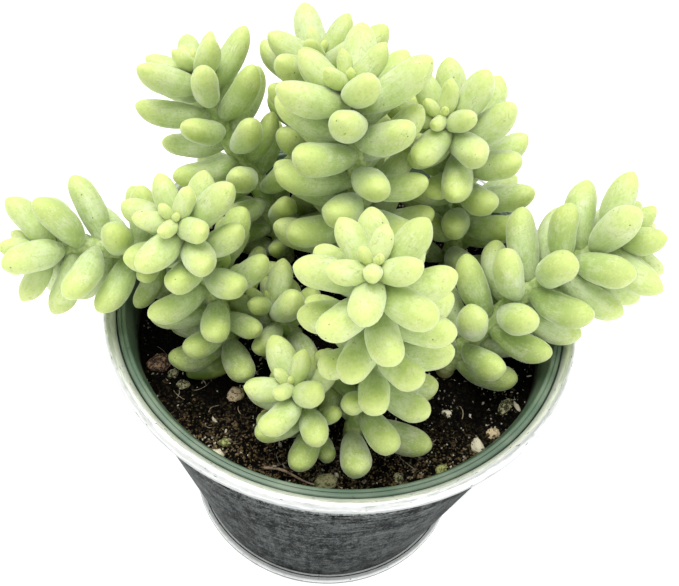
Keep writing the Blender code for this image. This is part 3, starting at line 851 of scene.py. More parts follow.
@dataclass
class MetalPot:
    """The galvanised pot: rolled rim, plain neck, ridge, brushed band, tapered wall and foot ring."""

    rim_radius: float = 59.9 * MM
    roll_radius: float = 1.6 * MM
    height: float = 88.6 * MM
    sheet: float = 0.8 * MM
    neck_drop: float = 8.6 * MM
    ridge_rise: float = 0.35 * MM
    band_height: float = 7.5 * MM
    foot_radius: float = 41.9 * MM
    foot_height: float = 2.8 * MM
    foot_step: float = 2.0 * MM
    seam_depth: float = 0.3 * MM
    rib_depth: float = 0.12 * MM
    rib_steps: int = 8
    wall_steps: int = 6
    steps: int = 192
    finish: ZincFinish = ZincFinish()

    @property
    def roll_centre(self) -> tuple[float, float]:
        """Radius and height of the rolled rim's middle."""
        return self.rim_radius - self.roll_radius, self.height - self.roll_radius

    def wall(self, height: float) -> float:
        """The wall's outer radius.

        Args:
            height: where it is wanted.

        Returns:
            The radius there.
        """
        foot = self.foot_radius - self.foot_step
        top = self.roll_centre[1] - self.roll_radius * math.sin(math.radians(60))
        widest = self.roll_centre[0] - self.roll_radius / 2
        return foot + (widest - foot) * (height - self.foot_height) / (top - self.foot_height)

    def shape(self) -> Turning:
        """The pot's profile.

        Returns:
            The profile, from the middle of the pot's floor over the roll and down to its foot.
        """
        roll, neck_zone, band_zone, wall_zone, foot_zone, seam = (zone.value for zone in Zinc)
        neck = self.height - 2 * self.roll_radius - self.neck_drop
        band = neck - self.band_height
        turn = Turning(self.steps)
        turn.to(0.0, self.sheet, wall_zone)
        turn.to(self.wall(self.foot_height) - self.sheet, self.sheet, wall_zone)
        turn.round(self.roll_centre, self.roll_radius, 180, -112, roll)
        turn.to(self.wall(neck + MM), neck + MM, neck_zone)
        turn.to(self.wall(neck + 0.5 * MM) + 0.15 * MM, neck + 0.5 * MM, neck_zone)
        turn.to(self.wall(neck) + self.ridge_rise, neck, band_zone)
        turn.to(self.wall(neck - MM) + self.ridge_rise, neck - MM, band_zone)
        for k in range(1, self.rib_steps + 1):
            height = neck - MM + (band - neck + MM) * k / self.rib_steps
            dip = self.rib_depth * (k % 2)
            turn.to(self.wall(height) + self.ridge_rise - dip, height, band_zone)
        turn.to(self.wall(band - MM), band - MM, band_zone)
        turn.to(self.wall(BRUSH_FOOT * MM), BRUSH_FOOT * MM, band_zone)
        for k in range(1, self.wall_steps + 1):
            height = BRUSH_FOOT * MM + (self.foot_height + 0.4 * MM - BRUSH_FOOT * MM) * k / self.wall_steps
            turn.to(self.wall(height), height, wall_zone)
        self.draw_foot(turn, foot_zone, seam)
        return turn

    def draw_foot(self, turn: Turning, foot: int, seam: int) -> None:
        """Draws the foot ring, with a groove on its top and a seam round its middle.

        Args:
            turn: the profile so far.
            foot: the zone of the ring.
            seam: the zone of its groove and its seam.
        """
        edge, middle = 0.5 * MM, self.foot_height / 2
        inner = (self.foot_radius - edge, self.foot_height - edge)
        start = self.wall(self.foot_height)
        turn.to(start, self.foot_height, seam)
        groove = ((0.5, 0.0, foot), (0.56, 0.25, seam), (0.76, 0.25, seam), (0.82, 0.0, seam))
        for reach, depth, zone in groove:
            turn.to(start + reach * MM, self.foot_height - depth * MM, zone)
        turn.round(inner, edge, 90, 0, foot)
        turn.to(self.foot_radius, middle + 0.22 * MM, foot)
        turn.to(self.foot_radius - self.seam_depth, middle + 0.08 * MM, seam)
        turn.to(self.foot_radius - self.seam_depth, middle - 0.08 * MM, seam)
        turn.to(self.foot_radius, middle - 0.22 * MM, seam)
        turn.round((self.foot_radius - 0.4 * MM, 0.4 * MM), 0.4 * MM, 0, -90, foot)
        turn.to(0.0, 0.0, foot)

    def build(self) -> None:
        """Makes the pot."""
        piece = show("galvanised_pot", self.shape().mesh("galvanised_pot"), self.finish.materials())
        report(piece, "galvanised_steel", "metal_pot")


@dataclass
class NurseryPot:
    """The green plastic liner: tapered wall, flat lip and a floor with drain holes."""

    wall: float = 0.9 * MM
    floor: float = 1.1 * MM
    top: float = 87.3 * MM
    lip_radius: float = 56.4 * MM
    lip_width: float = 2.2 * MM
    groove: float = 0.25 * MM  # depth of the fine ring in the lip's top
    lip_height: float = 2.6 * MM
    foot_radius: float = 37.0 * MM
    shoulder_height: float = 72.0 * MM
    shoulder_radius: float = 53.1 * MM
    shoulder_step: float = 0.8 * MM
    holes: int = 6
    hole_radius: float = 3.0 * MM
    hole_circle: float = 25.0 * MM
    steps: int = 160
    finish: PlasticFinish = PlasticFinish()

    def radius(self, height: float) -> float:
        """The wall's outer radius. The wall steps in under its shoulder.

        Args:
            height: where it is wanted.

        Returns:
            The radius there.
        """
        if height < self.shoulder_height:
            rise = (height - self.floor) / (self.shoulder_height - self.floor)
            return self.foot_radius + (self.shoulder_radius - self.shoulder_step - self.foot_radius) * rise
        rise = (height - self.shoulder_height) / (self.top - self.shoulder_height)
        return self.shoulder_radius + (self.lip_radius - self.lip_width - self.shoulder_radius) * rise

    def soil_radius(self, height: float) -> float:
        """The radius that the soil fills at a height."""
        return self.radius(height) - self.wall - GAP

    def shape(self) -> Turning:
        """The liner's profile.

        Returns:
            The profile, from the middle of its floor over the lip and down to its underside.
        """
        under, inside, edge = self.top - self.lip_height, self.lip_radius - self.lip_width, 0.5 * MM
        floor_top, step = self.floor + self.wall, self.shoulder_height - self.shoulder_step
        turn = Turning(self.steps)
        turn.to(0.0, floor_top)
        for height in (floor_top, step, self.shoulder_height, under):
            turn.to(self.radius(height) - self.wall, height)
        turn.round((inside + edge, self.top - edge), edge, 170, 90)
        middle = self.lip_radius - 1.1 * MM
        for side, depth in ((-0.16, 0.0), (-0.08, self.groove), (0.08, self.groove), (0.16, 0.0)):
            turn.to(middle + side * MM, self.top - depth)
        turn.round((self.lip_radius - edge, self.top - edge), edge, 90, 0)
        turn.to(self.lip_radius, under)
        for height in (under, self.shoulder_height, step, self.floor):
            turn.to(self.radius(height), height)
        turn.to(0.0, self.floor)
        return turn

    def drill(self, pot: bpy.types.Object) -> None:
        """Cuts the drain holes.

        Args:
            pot: the liner, not yet cut.
        """
        drills = bpy.data.collections.new("drills")
        bpy.context.scene.collection.children.link(drills)
        for number in range(self.holes):
            angle = 2 * math.pi * number / self.holes
            place = Vector((math.cos(angle), math.sin(angle), 0.0)) * self.hole_circle
            shape = bmesh.new()
            size = {"segments": 24, "radius1": self.hole_radius, "radius2": self.hole_radius, "depth": 8 * MM}
            bmesh.ops.create_cone(shape, cap_ends=True, matrix=Matrix.Translation(place), **size)
            mesh = bpy.data.meshes.new("drill")
            shape.to_mesh(mesh)
            shape.free()
            drills.objects.link(bpy.data.objects.new("drill", mesh))
        cut = pot.modifiers.new("drain_holes", "BOOLEAN")
        cut.operation, cut.solver = "DIFFERENCE", "EXACT"
        cut.operand_type, cut.collection = "COLLECTION", drills
        bpy.context.view_layer.update()
        finished = bpy.data.meshes.new_from_object(pot.evaluated_get(bpy.context.evaluated_depsgraph_get()))
        pot.modifiers.clear()
        pot.data = finished
        for drill in list(drills.objects):
            bpy.data.objects.remove(drill)
        bpy.data.collections.remove(drills)

    def build(self) -> None:
        """Makes the liner."""
        pot = show("green_liner", self.shape().mesh("green_liner"), [self.finish.material()])
        self.drill(pot)
        report(pot, "green_plastic", "nursery_pot")


# Soil


@dataclass(frozen=True)
class Grit:
    """One bit that lies half sunk in the soil. Its place and half sizes are in millimetres."""

    kind: Grain
    x: float
    y: float
    long: float
    wide: float
    turn: float = 0.0

    def mesh(self, height: float, number: int) -> bpy.types.Mesh:
        """A rough lump.

        Args:
            height: the soil's height here.
            number: what makes this bit differ from the others.

        Returns:
            Its mesh, in place.
        """
        shape = bmesh.new()
        bmesh.ops.create_icosphere(shape, subdivisions=4, radius=1.0)
        for vertex in shape.verts:
            seat = vertex.co * 1.3 + Vector((7.1 * number, 0.0, 3.7))
            lump = 0.18 * noise.noise(seat) + 0.11 * noise.noise(seat * 2.9) + 0.07 * noise.noise(seat * 6.5)
            vertex.co *= 0.91 + lump
        size = Matrix.Diagonal((self.long, self.wide, self.wide)).to_4x4()
        seat = Matrix.Translation((self.x * MM, self.y * MM, height - 0.2 * self.wide * MM))
        turn = Matrix.Rotation(math.radians(self.turn), 4, "Z")
        shape.transform(seat @ turn @ Matrix.Scale(MM, 4) @ size)
        mesh = bpy.data.meshes.new("grit")
        shape.to_mesh(mesh)
        shape.free()
        mesh.shade_smooth()
        return mesh


GRIT = (
    Grit(Grain.PERLITE, -25.4, -43.0, 1.8, 1.6),
    Grit(Grain.ORANGE, -15.3, -30.8, 2.1, 1.8, 40),
    Grit(Grain.TAN, -23.6, -26.0, 2.6, 2.1, 60),
    Grit(Grain.OLIVE, -36.9, -24.8, 1.9, 1.5, 20),
    Grit(Grain.OLIVE, -40.0, -21.9, 1.9, 1.4, 70),
    Grit(Grain.BARK, -44.0, -19.0, 3.6, 2.8, 30),
    Grit(Grain.MOSSY, -24.2, -39.8, 1.6, 1.3),
    Grit(Grain.PEBBLE, 0.6, -47.2, 3.0, 2.3, 15),
    Grit(Grain.PERLITE, 36.2, -33.4, 2.4, 1.7, 110),
    Grit(Grain.TAN, 40.0, -29.4, 2.0, 1.5, 30),
    Grit(Grain.PERLITE, 28.6, -25.2, 1.4, 1.2),
    Grit(Grain.OLIVE, 43.4, -21.0, 3.3, 1.7, 60),
    Grit(Grain.MOSSY, 27.6, -40.6, 1.8, 1.4, 30),
    Grit(Grain.OLIVE, 17.5, -44.0, 1.7, 1.4, 80),
    Grit(Grain.PUMICE, -36.0, -17.0, 1.5, 1.2, 10),
    Grit(Grain.PUMICE, -39.0, -14.0, 1.6, 1.2, 80),
    Grit(Grain.BARK, -23.0, -19.0, 1.6, 1.2, 50),
)


@dataclass
class SoilBed:
    """The peat in the liner, with crumbs, root fibres, grit, a twig and an old leaf on it."""

    liner: NurseryPot
    level: float = 76.0 * MM
    relief: float = 0.7 * MM
    grain_size: float = 9.0 * MM
    seed: float = 4.0
    rings: int = 100
    steps: int = 300
    crumbs: int = 9200
    crumb_seed: int = 11
    old_leaf: tuple[float, float, float] = (-31.0, -20.5, 24.0)  # x, y and heading in degrees
    fibres: int = 130
    fibre_seed: int = 5
    fibre_points: int = 6
    fibre_sides: int = 5
    finish: PeatFinish = PeatFinish()

    def height(self, x: float, y: float) -> float:
        """Height of the rough surface, which is level at the liner's wall.

        Args:
            x: where it is wanted, across.
            y: and along.

        Returns:
            The height there.
        """
        rough = noise.noise(Vector((x / self.grain_size, y / self.grain_size, self.seed)))
        edge = min(1.0, (self.liner.soil_radius(self.level) - math.hypot(x, y)) / (4 * MM))
        return self.level + self.relief * rough * max(0.0, edge)

    def crumbly(self, x: float, y: float) -> float:
        """Height of the surface with the finer crumb of the peat.

        Args:
            x: where it is wanted, across.
            y: and along.

        Returns:
            The height there.
        """
        spot = Vector((x, y, 0.0)) * TO_MM
        fine = 0.34 * noise.noise(spot / 2.6) + 0.24 * noise.noise(spot / 1.1 + Vector((9, 4, 2)))
        return self.height(x, y) + (fine - 0.15) * MM

    def bed_mesh(self) -> bpy.types.Mesh:
        """The bed.

        Returns:
            Its mesh: a rough round top, then the side and the floor that the liner hides.
        """
        edge = self.liner.soil_radius(self.level)
        turn = Turning(self.steps)
        for k in range(self.rings + 1):
            turn.to(edge * k / self.rings, self.level)
        shoulder = self.liner.shoulder_height
        floor = self.liner.floor + self.liner.wall + GAP
        for height in (shoulder, shoulder - self.liner.shoulder_step, floor):
            turn.to(self.liner.soil_radius(height), height)
        turn.to(0.0, floor)
        mesh = turn.mesh("peat_bed")
        for vertex in mesh.vertices:
            if vertex.co.z > self.level - 0.5 * MM:
                vertex.co.z = self.crumbly(vertex.co.x, vertex.co.y)
        carry(mesh, "tone", np.full(len(mesh.vertices), 0.2))
        return mesh

    def crumb_mesh(self) -> bpy.types.Mesh:
        """Loose crumbs of peat over the bed.

        Returns:
            All of them as one mesh.
        """
        draw = np.random.default_rng(self.crumb_seed)
        shape = bmesh.new()
        bmesh.ops.create_icosphere(shape, subdivisions=1, radius=1.0)
        ball = np.array([vertex.co for vertex in shape.verts])
        corners = np.array([[vertex.index for vertex in face.verts] for face in shape.faces])
        shape.free()
        edge = self.liner.soil_radius(self.level) - 0.8 * MM
        points, tones = [], []
        for _ in range(self.crumbs):
            far, angle = edge * math.sqrt(draw.random()), 2 * math.pi * draw.random()
            x, y = far * math.cos(angle), far * math.sin(angle)
            size = (0.2 + 0.7 * draw.random() ** 3.0) * MM
            frame = np.linalg.qr(draw.normal(size=(3, 3)))[0]
            rough = 1 + draw.uniform(-0.28, 0.28, (len(ball), 1))
            stretch = (1 + 1.1 * draw.random() ** 3, draw.uniform(0.4, 1), 0.6)
            lump = ball * rough * stretch
            middle = (x, y, self.crumbly(x, y) + 0.15 * size)
            points.append(lump @ frame * size + middle)
            tones.append(draw.random() ** (1.4 if size > 0.3 * MM else 0.7))
        count = len(ball)
        faces = (corners[None] + count * np.arange(self.crumbs)[:, None, None]).reshape(-1, 3)
        mesh = mesh_of("peat_crumbs", np.concatenate(points), faces.tolist(), smooth=False)
        carry(mesh, "tone", np.repeat(tones, count))
        return mesh

    def fibre_mesh(self) -> bpy.types.Mesh:
        """Fine root fibres that lie on the crumbs.

        Returns:
            All of them as one mesh.
        """
        draw = random.Random(self.fibre_seed)
        points, faces = [], []
        for _ in range(self.fibres):
            far, angle = 48 * MM * math.sqrt(draw.random()), draw.uniform(0, 2 * math.pi)
            spot = np.array((far * math.cos(angle), far * math.sin(angle)))
            heading, bend = draw.uniform(0, 2 * math.pi), draw.uniform(-0.5, 0.5)
            step, thick = draw.uniform(0.5, 1.2) * MM, draw.uniform(0.05, 0.13) * MM
            line = []
            for k in range(self.fibre_points):
                lift = (0.35 + 0.35 * math.sin(math.pi * k / (self.fibre_points - 1))) * MM
                line.append((*spot, self.crumbly(*spot) + lift))
                heading += bend * draw.uniform(0.3, 1.4)
                spot = spot + step * np.array((math.cos(heading), math.sin(heading)))
            made = drawn_tube(np.array(line), np.full(self.fibre_points, thick), self.fibre_sides)
            faces += tube_faces(self.fibre_points, self.fibre_sides, len(points))
            points += made.tolist()
        return mesh_of("root_fibres", np.array(points), faces)

    def twig_mesh(self) -> bpy.types.Mesh:
        """A thin twig that lies on the soil near the front wall.

        Returns:
            Its mesh.
        """
        rings, sides = 14, 8
        marks = np.linspace(0, 1, rings)
        x, y = -14.0 + 12.0 * marks, -45.2 - 2.6 * marks + 0.7 * np.sin(5 * marks)
        height = [self.height(a * MM, b * MM) for a, b in zip(x, y)]
        line = np.stack([x * MM, y * MM, np.array(height) + 0.55 * MM], 1)
        thick = (0.42 - 0.24 * marks + 0.04 * np.sin(20 * marks)) * MM
        return mesh_of("twig", drawn_tube(line, thick, sides), tube_faces(rings, sides, 0))

    def leaf_mesh(self) -> bpy.types.Mesh:
        """The old leaf that has dropped on the soil.

        Returns:
            Its mesh.
        """
        rings = sides = 20
        x, y, heading = self.old_leaf[0] * MM, self.old_leaf[1] * MM, math.radians(self.old_leaf[2])
        shares = 0.5 - 0.5 * np.cos(np.pi * np.linspace(0.03, 0.97, rings))
        middle = np.array((x, y, self.height(x, y) + 2.1 * MM))
        line = middle + np.outer(11.5 * MM * (shares - 0.5), (math.cos(heading), math.sin(heading), 0.04))
        thick = 2.8 * MM * FORM.profile(shares)
        return mesh_of("old_leaf", drawn_tube(line, thick, sides), tube_faces(rings, sides, 0))

    def build(self) -> None:
        """Makes the bed and all that lies on it."""
        peat = self.finish.material()
        report(show("peat_bed", self.bed_mesh(), [peat]), "peat", "soil")
        report(show("peat_crumbs", self.crumb_mesh(), [peat]), "peat")
        report(show("root_fibres", self.fibre_mesh(), [Grain.FIBRE.value.material()]), "peat")
        report(show("twig", self.twig_mesh(), [Grain.TWIG.value.material()]), "peat")
        report(show("old_leaf", self.leaf_mesh(), [FallenLeafFinish().material()]), "leaf_green")
        finishes = {kind: kind.value.material() for kind in {grit.kind for grit in GRIT}}
        for number, grit in enumerate(GRIT):
            mesh = grit.mesh(self.height(grit.x * MM, grit.y * MM), number)
            report(show(f"grit_{number + 1:02d}", mesh, [finishes[grit.kind]]), "peat")


def drawn_tube(line: np.ndarray, thick: np.ndarray, sides: int) -> np.ndarray:
    """Points of a closed tube along a line, for tube_faces.

    Args:
        line: points along its middle.
        thick: its radius at each of them.
        sides: points in a ring.

    Returns:
        The rings' points, then one for each end.
    """
    heading = np.gradient(line, axis=0)
    heading /= np.linalg.norm(heading, axis=1, keepdims=True)
    side = np.cross(heading, (0.31, 0.17, 0.93) if abs(heading[0][2]) < 0.8 else (0.2, -1.0, 0.1))
    side /= np.linalg.norm(side, axis=1, keepdims=True)
    over = np.cross(heading, side)
    angles = 2 * np.pi * np.arange(sides) / sides
    ring = side[:, None] * np.cos(angles)[None, :, None] + over[:, None] * np.sin(angles)[None, :, None]
    rings = line[:, None] + ring * np.broadcast_to(thick, (sides, len(line))).T[..., None]
    ends = [line[0] - heading[0] * thick[0] * 0.3, line[-1] + heading[-1] * thick[-1] * 0.6]
    return np.concatenate([rings.reshape(-1, 3), ends])


# Plant


@dataclass(frozen=True)
class LeafForm:
    """Shape of a leaf: widths over its greatest width, and places and bow as shares of its length."""

    length: float = 18.4 * MM
    base: float = 0.34
    widest: float = 0.5
    bow: float = 0.045
    flat: float = 0.86
    root_depth: float = 0.55
    sides: int = 22
    rings: int = 23

    def profile(self, share: np.ndarray, young: float | np.ndarray = 0.0) -> np.ndarray:
        """Half width over the greatest half width.

        Args:
            share: where along the leaf.
            young: 0 for a grown leaf, up to 1 for a bud, which is pointed and widest near its base.

        Returns:
            The half width there.
        """
        share = np.asarray(share, float)
        widest, base, tip = self.widest - 0.14 * young, self.base + 0.3 * young, 0.55 + 0.25 * young
        lower = base + (1 - base) * np.sin(0.5 * np.pi * np.clip(share / widest, 0, 1)) ** 0.8
        past = np.clip((share - widest) / (1 - widest), 0, 1)
        upper = np.cos(0.5 * np.pi * past ** (1.9 - 0.4 * young)) ** tip
        return np.where(share < widest, lower, upper)


FORM = LeafForm()


@dataclass(frozen=True)
class Shoot:
    """One leafy shoot. Its route runs from its foot in the soil to its growing tip, in millimetres."""

    name: str
    route: tuple[tuple[float, float, float], ...]
    turn: float = 0.0
    leaf: float = 1.0
    spacing: float = 1.65
    young: int = 8
    spread: float = 70.0
    plump: float = 0.42  # width of a grown leaf over its length
    sun: float = 0.5  # how much painted sunlight its leaves carry: they turn yellower, with thinner bloom


SHOOTS = (
    Shoot("stem_far_left", ((-27, 5, 78), (-33, 2, 90), (-46, -4, 100), (-60, -9, 106), (-74, -12, 104)),
          leaf=0.92, young=10, spread=78, plump=0.43),
    Shoot("stem_left", ((-27, -14, 78), (-30, -12, 94), (-35, -10, 111), (-38, -14, 124)),
          leaf=0.88, spread=75, plump=0.43),
    Shoot("stem_upper_left", ((-17, 20, 78), (-23, 24, 94), (-35, 30, 112), (-43, 36, 127)),
          leaf=1.02, young=7, spread=66, plump=0.38),
    Shoot("stem_centre", ((1, 11, 78), (2, 11, 96), (0, 12, 122), (-4, 15, 143)),
          turn=-27, leaf=1.15, young=7, spread=62, plump=0.38),
    Shoot("stem_back", ((-4, 30, 78), (-6, 32, 94), (-9, 35, 114), (-12, 38, 133)),
          leaf=1.08, young=6, spread=56, plump=0.4),
    Shoot("stem_upper_right", ((28, 22, 78), (29, 26, 94), (26, 26, 114), (18, 20, 132)),
          leaf=1.06, young=9, spread=66, plump=0.39),
    # stem_front and stem_short carry more painted sunlight
    Shoot("stem_front", ((6, -34, 78), (8, -31, 92), (8, -28, 113), (5, -32, 137)),
          turn=20, leaf=0.93, young=9, spread=80, plump=0.43, sun=0.65),
    Shoot("stem_short", ((-3, -35, 78), (-5, -36, 88), (-10, -36, 99)),
          leaf=0.78, spacing=1.5, young=6, spread=76, plump=0.46, sun=0.65),
    Shoot("stem_right", ((28, -12, 78), (35, -8, 89), (46, -2, 101), (58, 3, 110), (69, 6, 113)),
          leaf=0.98, young=10, spread=68, plump=0.44),
    Shoot("stem_filler", ((-11, -8, 78), (-14, -10, 85), (-19, -9, 93)),
          leaf=0.88, young=4, spread=72, plump=0.44),
)


@dataclass(frozen=True)
class StemForm:
    """Thickness of a stem, and how its route is drawn."""

    tip: float = 0.7 * MM
    foot: float = 2.5 * MM
    thickening: float = 9.0 * MM
    buried: float = 8.0 * MM
    bare: float = 8.2 * MM
    divisions: int = 24
    sides: int = 16

    def radius(self, from_tip: float) -> float:
        """The stem's radius at a distance from its tip."""
        return self.tip + (self.foot - self.tip) * (1 - math.exp(-from_tip / self.thickening))


STEM = StemForm()


@dataclass
class Leaf:
    """One leaf: it starts at base and points along aim."""

    stem: int
    base: np.ndarray
    aim: np.ndarray
    axis: np.ndarray
    length: float
    width: float
    young: float


def unit(vector: np.ndarray) -> np.ndarray:
    """The vector at a length of 1."""
    return vector / np.linalg.norm(vector)


class Path:
    """A shoot's route as a smooth curve, measured by its length."""

    def __init__(self, shoot: Shoot) -> None:
        """Draws a Catmull-Rom curve through the route, with the straight buried foot before it.

        Args:
            shoot: the shoot.
        """
        points = np.array(shoot.route, float) * MM
        before = points[0] - (0, 0, STEM.buried)
        controls = np.vstack([before, points, 2 * points[-1] - points[-2]])
        curve = [before]
        for p0, p1, p2, p3 in zip(controls, controls[1:], controls[2:], controls[3:]):
            for step in range(STEM.divisions):
                t = step / STEM.divisions
                bend = (2 * p0 - 5 * p1 + 4 * p2 - p3) * t**2 + (3 * (p1 - p2) + p3 - p0) * t**3
                curve.append(0.5 * (2 * p1 + (p2 - p0) * t + bend))
        curve.append(points[-1])
        self.points = np.array(curve)
        steps = np.linalg.norm(np.diff(self.points, axis=0), axis=1)
        self.marks = np.concatenate([[0.0], np.cumsum(steps)])
        self.length = self.marks[-1]

    def at(self, distance: float) -> np.ndarray:
        """The point at a distance along the curve."""
        return np.array([np.interp(distance, self.marks, self.points[:, k]) for k in range(3)])

    def heading(self, distance: float) -> np.ndarray:
        """The curve's direction at a distance along it."""
        reach = 0.4 * MM
        return unit(self.at(min(self.length, distance + reach)) - self.at(distance - reach))


@dataclass
class Growth:
    """How leaves grow on a shoot, each a golden angle round from the last."""

    golden_angle: float = math.radians(137.508)
    opening_pace: float = 0.9
    tip_gap: float = 0.3 * MM  # from the shoot's tip to its first leaf
    tip_tilt: float = 12.0  # degrees between the first leaf and the stem
    wobble: float = 7.0  # most degrees that a grown leaf's tilt is out by
    tip_length: float = 0.2  # the first leaf's length over a grown one's
    tip_spacing: float = 0.22  # and the same for the gap to the next leaf

    def grow(self, number: int, shoot: Shoot) -> list[Leaf]:
        """The leaves of one shoot, from its tip down.

        Args:
            number: the shoot's number, which seeds its leaves.
            shoot: the shoot.

        Returns:
            Its leaves, before they settle.
        """
        draw = random.Random(number)
        path = Path(shoot)
        grown = FORM.length * shoot.leaf
        side = unit(np.cross(path.heading(path.length), (0.0, -1.0, 0.2)))
        leaves = []
        from_tip = self.tip_gap
        while path.length - from_tip > STEM.bare:
            count = len(leaves)
            axis = path.heading(path.length - from_tip)
            side = unit(side - axis * (side @ axis))
            angle = math.radians(shoot.turn) + count * self.golden_angle
            outward = side * math.cos(angle) + np.cross(axis, side) * math.sin(angle)
            opening = 1 - math.exp(-count / (self.opening_pace * shoot.young))
            wobble = draw.uniform(-self.wobble, self.wobble) * min(1, count / shoot.young)
            tilt = math.radians(self.tip_tilt + (shoot.spread - self.tip_tilt) * opening + wobble)
            share = self.tip_length + (1 - self.tip_length) * (count / shoot.young) ** 0.9
            length = grown * min(1.0, share) * draw.uniform(0.92, 1.06)
            width = min(length * (shoot.plump + 0.14 * math.exp(-count / 5)), grown * shoot.plump)
            base = path.at(path.length - from_tip) + outward * STEM.radius(from_tip) * FORM.root_depth
            aim = axis * math.cos(tilt) + outward * math.sin(tilt)
            young = math.exp(-count / (0.8 * shoot.young))
            leaves.append(Leaf(number, base, aim, axis, length, width, young))
            share = self.tip_spacing + (1 - self.tip_spacing) * count / (1.3 * shoot.young)
            from_tip += shoot.spacing * MM * min(1.0, share)
        return leaves


def under_sides(aims: np.ndarray, axes: np.ndarray) -> np.ndarray:
    """Unit vectors across each leaf, pointing away from the shoot's tip."""
    across = aims * (aims * axes).sum(1, keepdims=True) - axes
    return across / np.maximum(np.linalg.norm(across, axis=1, keepdims=True), 1e-6)


def centre_points(
    bases: np.ndarray, aims: np.ndarray, axes: np.ndarray, lengths: np.ndarray, shares: np.ndarray
) -> np.ndarray:
    """Points along the bowed middle of each leaf.

    Args:
        bases: where each leaf starts.
        aims: where it points.
        axes: its shoot's direction there.
        lengths: its length.
        shares: the shares of the length that are wanted.

    Returns:
        An array of leaf, share and coordinate.
    """
    bow = 4 * FORM.bow * shares * (1 - shares)
    reach = aims[:, None] * shares[None, :, None] + under_sides(aims, axes)[:, None] * bow[None, :, None]
    return bases[:, None] + reach * lengths[:, None, None]


@dataclass
class Settling:
    """How leaves turn, shrink and are left off, until each lies beside its neighbours."""

    shares: tuple[float, ...] = (0.2, 0.36, 0.52, 0.68, 0.82, 0.93)  # touch points along a leaf
    passes: int = 4
    rounds: int = 45
    near_every: int = 15
    shrink: float = 0.9
    rim_radius: float = 60.0 * MM
    rim_inside: float = 52.2 * MM
    rim_height: float = MetalPot.height
    soil_level: float = SoilBed.level
    soil_relief: float = SoilBed.relief
    other_gap: float = 0.9 * MM
    same_gap: float = 0.25 * MM
    spring_back: float = 0.02
    most_turn: float = 0.25
    least_gap: float = 0.5 * MM
    pot_clearance: float = 0.9 * MM

    @staticmethod
    def near_pairs(points: np.ndarray, radii: np.ndarray) -> tuple[np.ndarray, np.ndarray]:
        """Index pairs of leaves whose round hulls come close.

        Args:
            points: touch points of every leaf.
            radii: the leaf's radius at each.

        Returns:
            The first and the second leaf of each pair.
        """
        middles = points.mean(1)
        reaches = np.linalg.norm(points - middles[:, None], axis=2).max(1) + radii.max(1) + 1.5 * MM
        distances = np.linalg.norm(middles[:, None] - middles[None], axis=2)
        return np.nonzero(np.triu(distances < reaches[:, None] + reaches[None], 1))

    @staticmethod
    def pushes_between(
        points: np.ndarray, radii: np.ndarray, first: np.ndarray, second: np.ndarray, gaps: np.ndarray
    ) -> np.ndarray:
        """How far paired leaves push each other apart.

        Args:
            points: touch points of every leaf.
            radii: the leaf's radius at each.
            first: the first leaf of each pair.
            second: the second leaf.
            gaps: the gap that the pair keeps.

        Returns:
            A push for each touch point.
        """
        apart = points[first][:, :, None] - points[second][:, None]
        distance = np.linalg.norm(apart, axis=3) + 1e-9
        need = radii[first][:, :, None] + radii[second][:, None] + gaps[:, None, None]
        push = apart * (0.5 * np.maximum(0, need - distance) / distance)[..., None]
        total = np.zeros_like(points)
        np.add.at(total, first, push.sum(2))
        np.add.at(total, second, -push.sum(1))
        return total

    def pushes_from_pot(self, points: np.ndarray, radii: np.ndarray) -> np.ndarray:
        """How far the soil and the two rims push the leaves.

        Args:
            points: touch points of every leaf.
            radii: the leaf's radius at each.

        Returns:
            A push for each touch point.
        """
        middle, half = (self.rim_radius + self.rim_inside) / 2, (self.rim_radius - self.rim_inside) / 2
        total = np.zeros_like(points)
        floor = self.soil_level + self.soil_relief + radii + self.pot_clearance
        total[..., 2] = 0.8 * np.maximum(0, floor - points[..., 2])
        spread = np.hypot(points[..., 0], points[..., 1])
        height = np.minimum(points[..., 2], self.rim_height - half)
        away = np.stack([spread - middle, points[..., 2] - height], -1)
        distance = np.linalg.norm(away, axis=-1) + 1e-9
        push = away * (np.maximum(0, radii + half + self.pot_clearance - distance) / distance)[..., None]
        total[..., :2] += points[..., :2] / np.maximum(spread, MM)[..., None] * push[..., :1]
        total[..., 2] += push[..., 1]
        return total


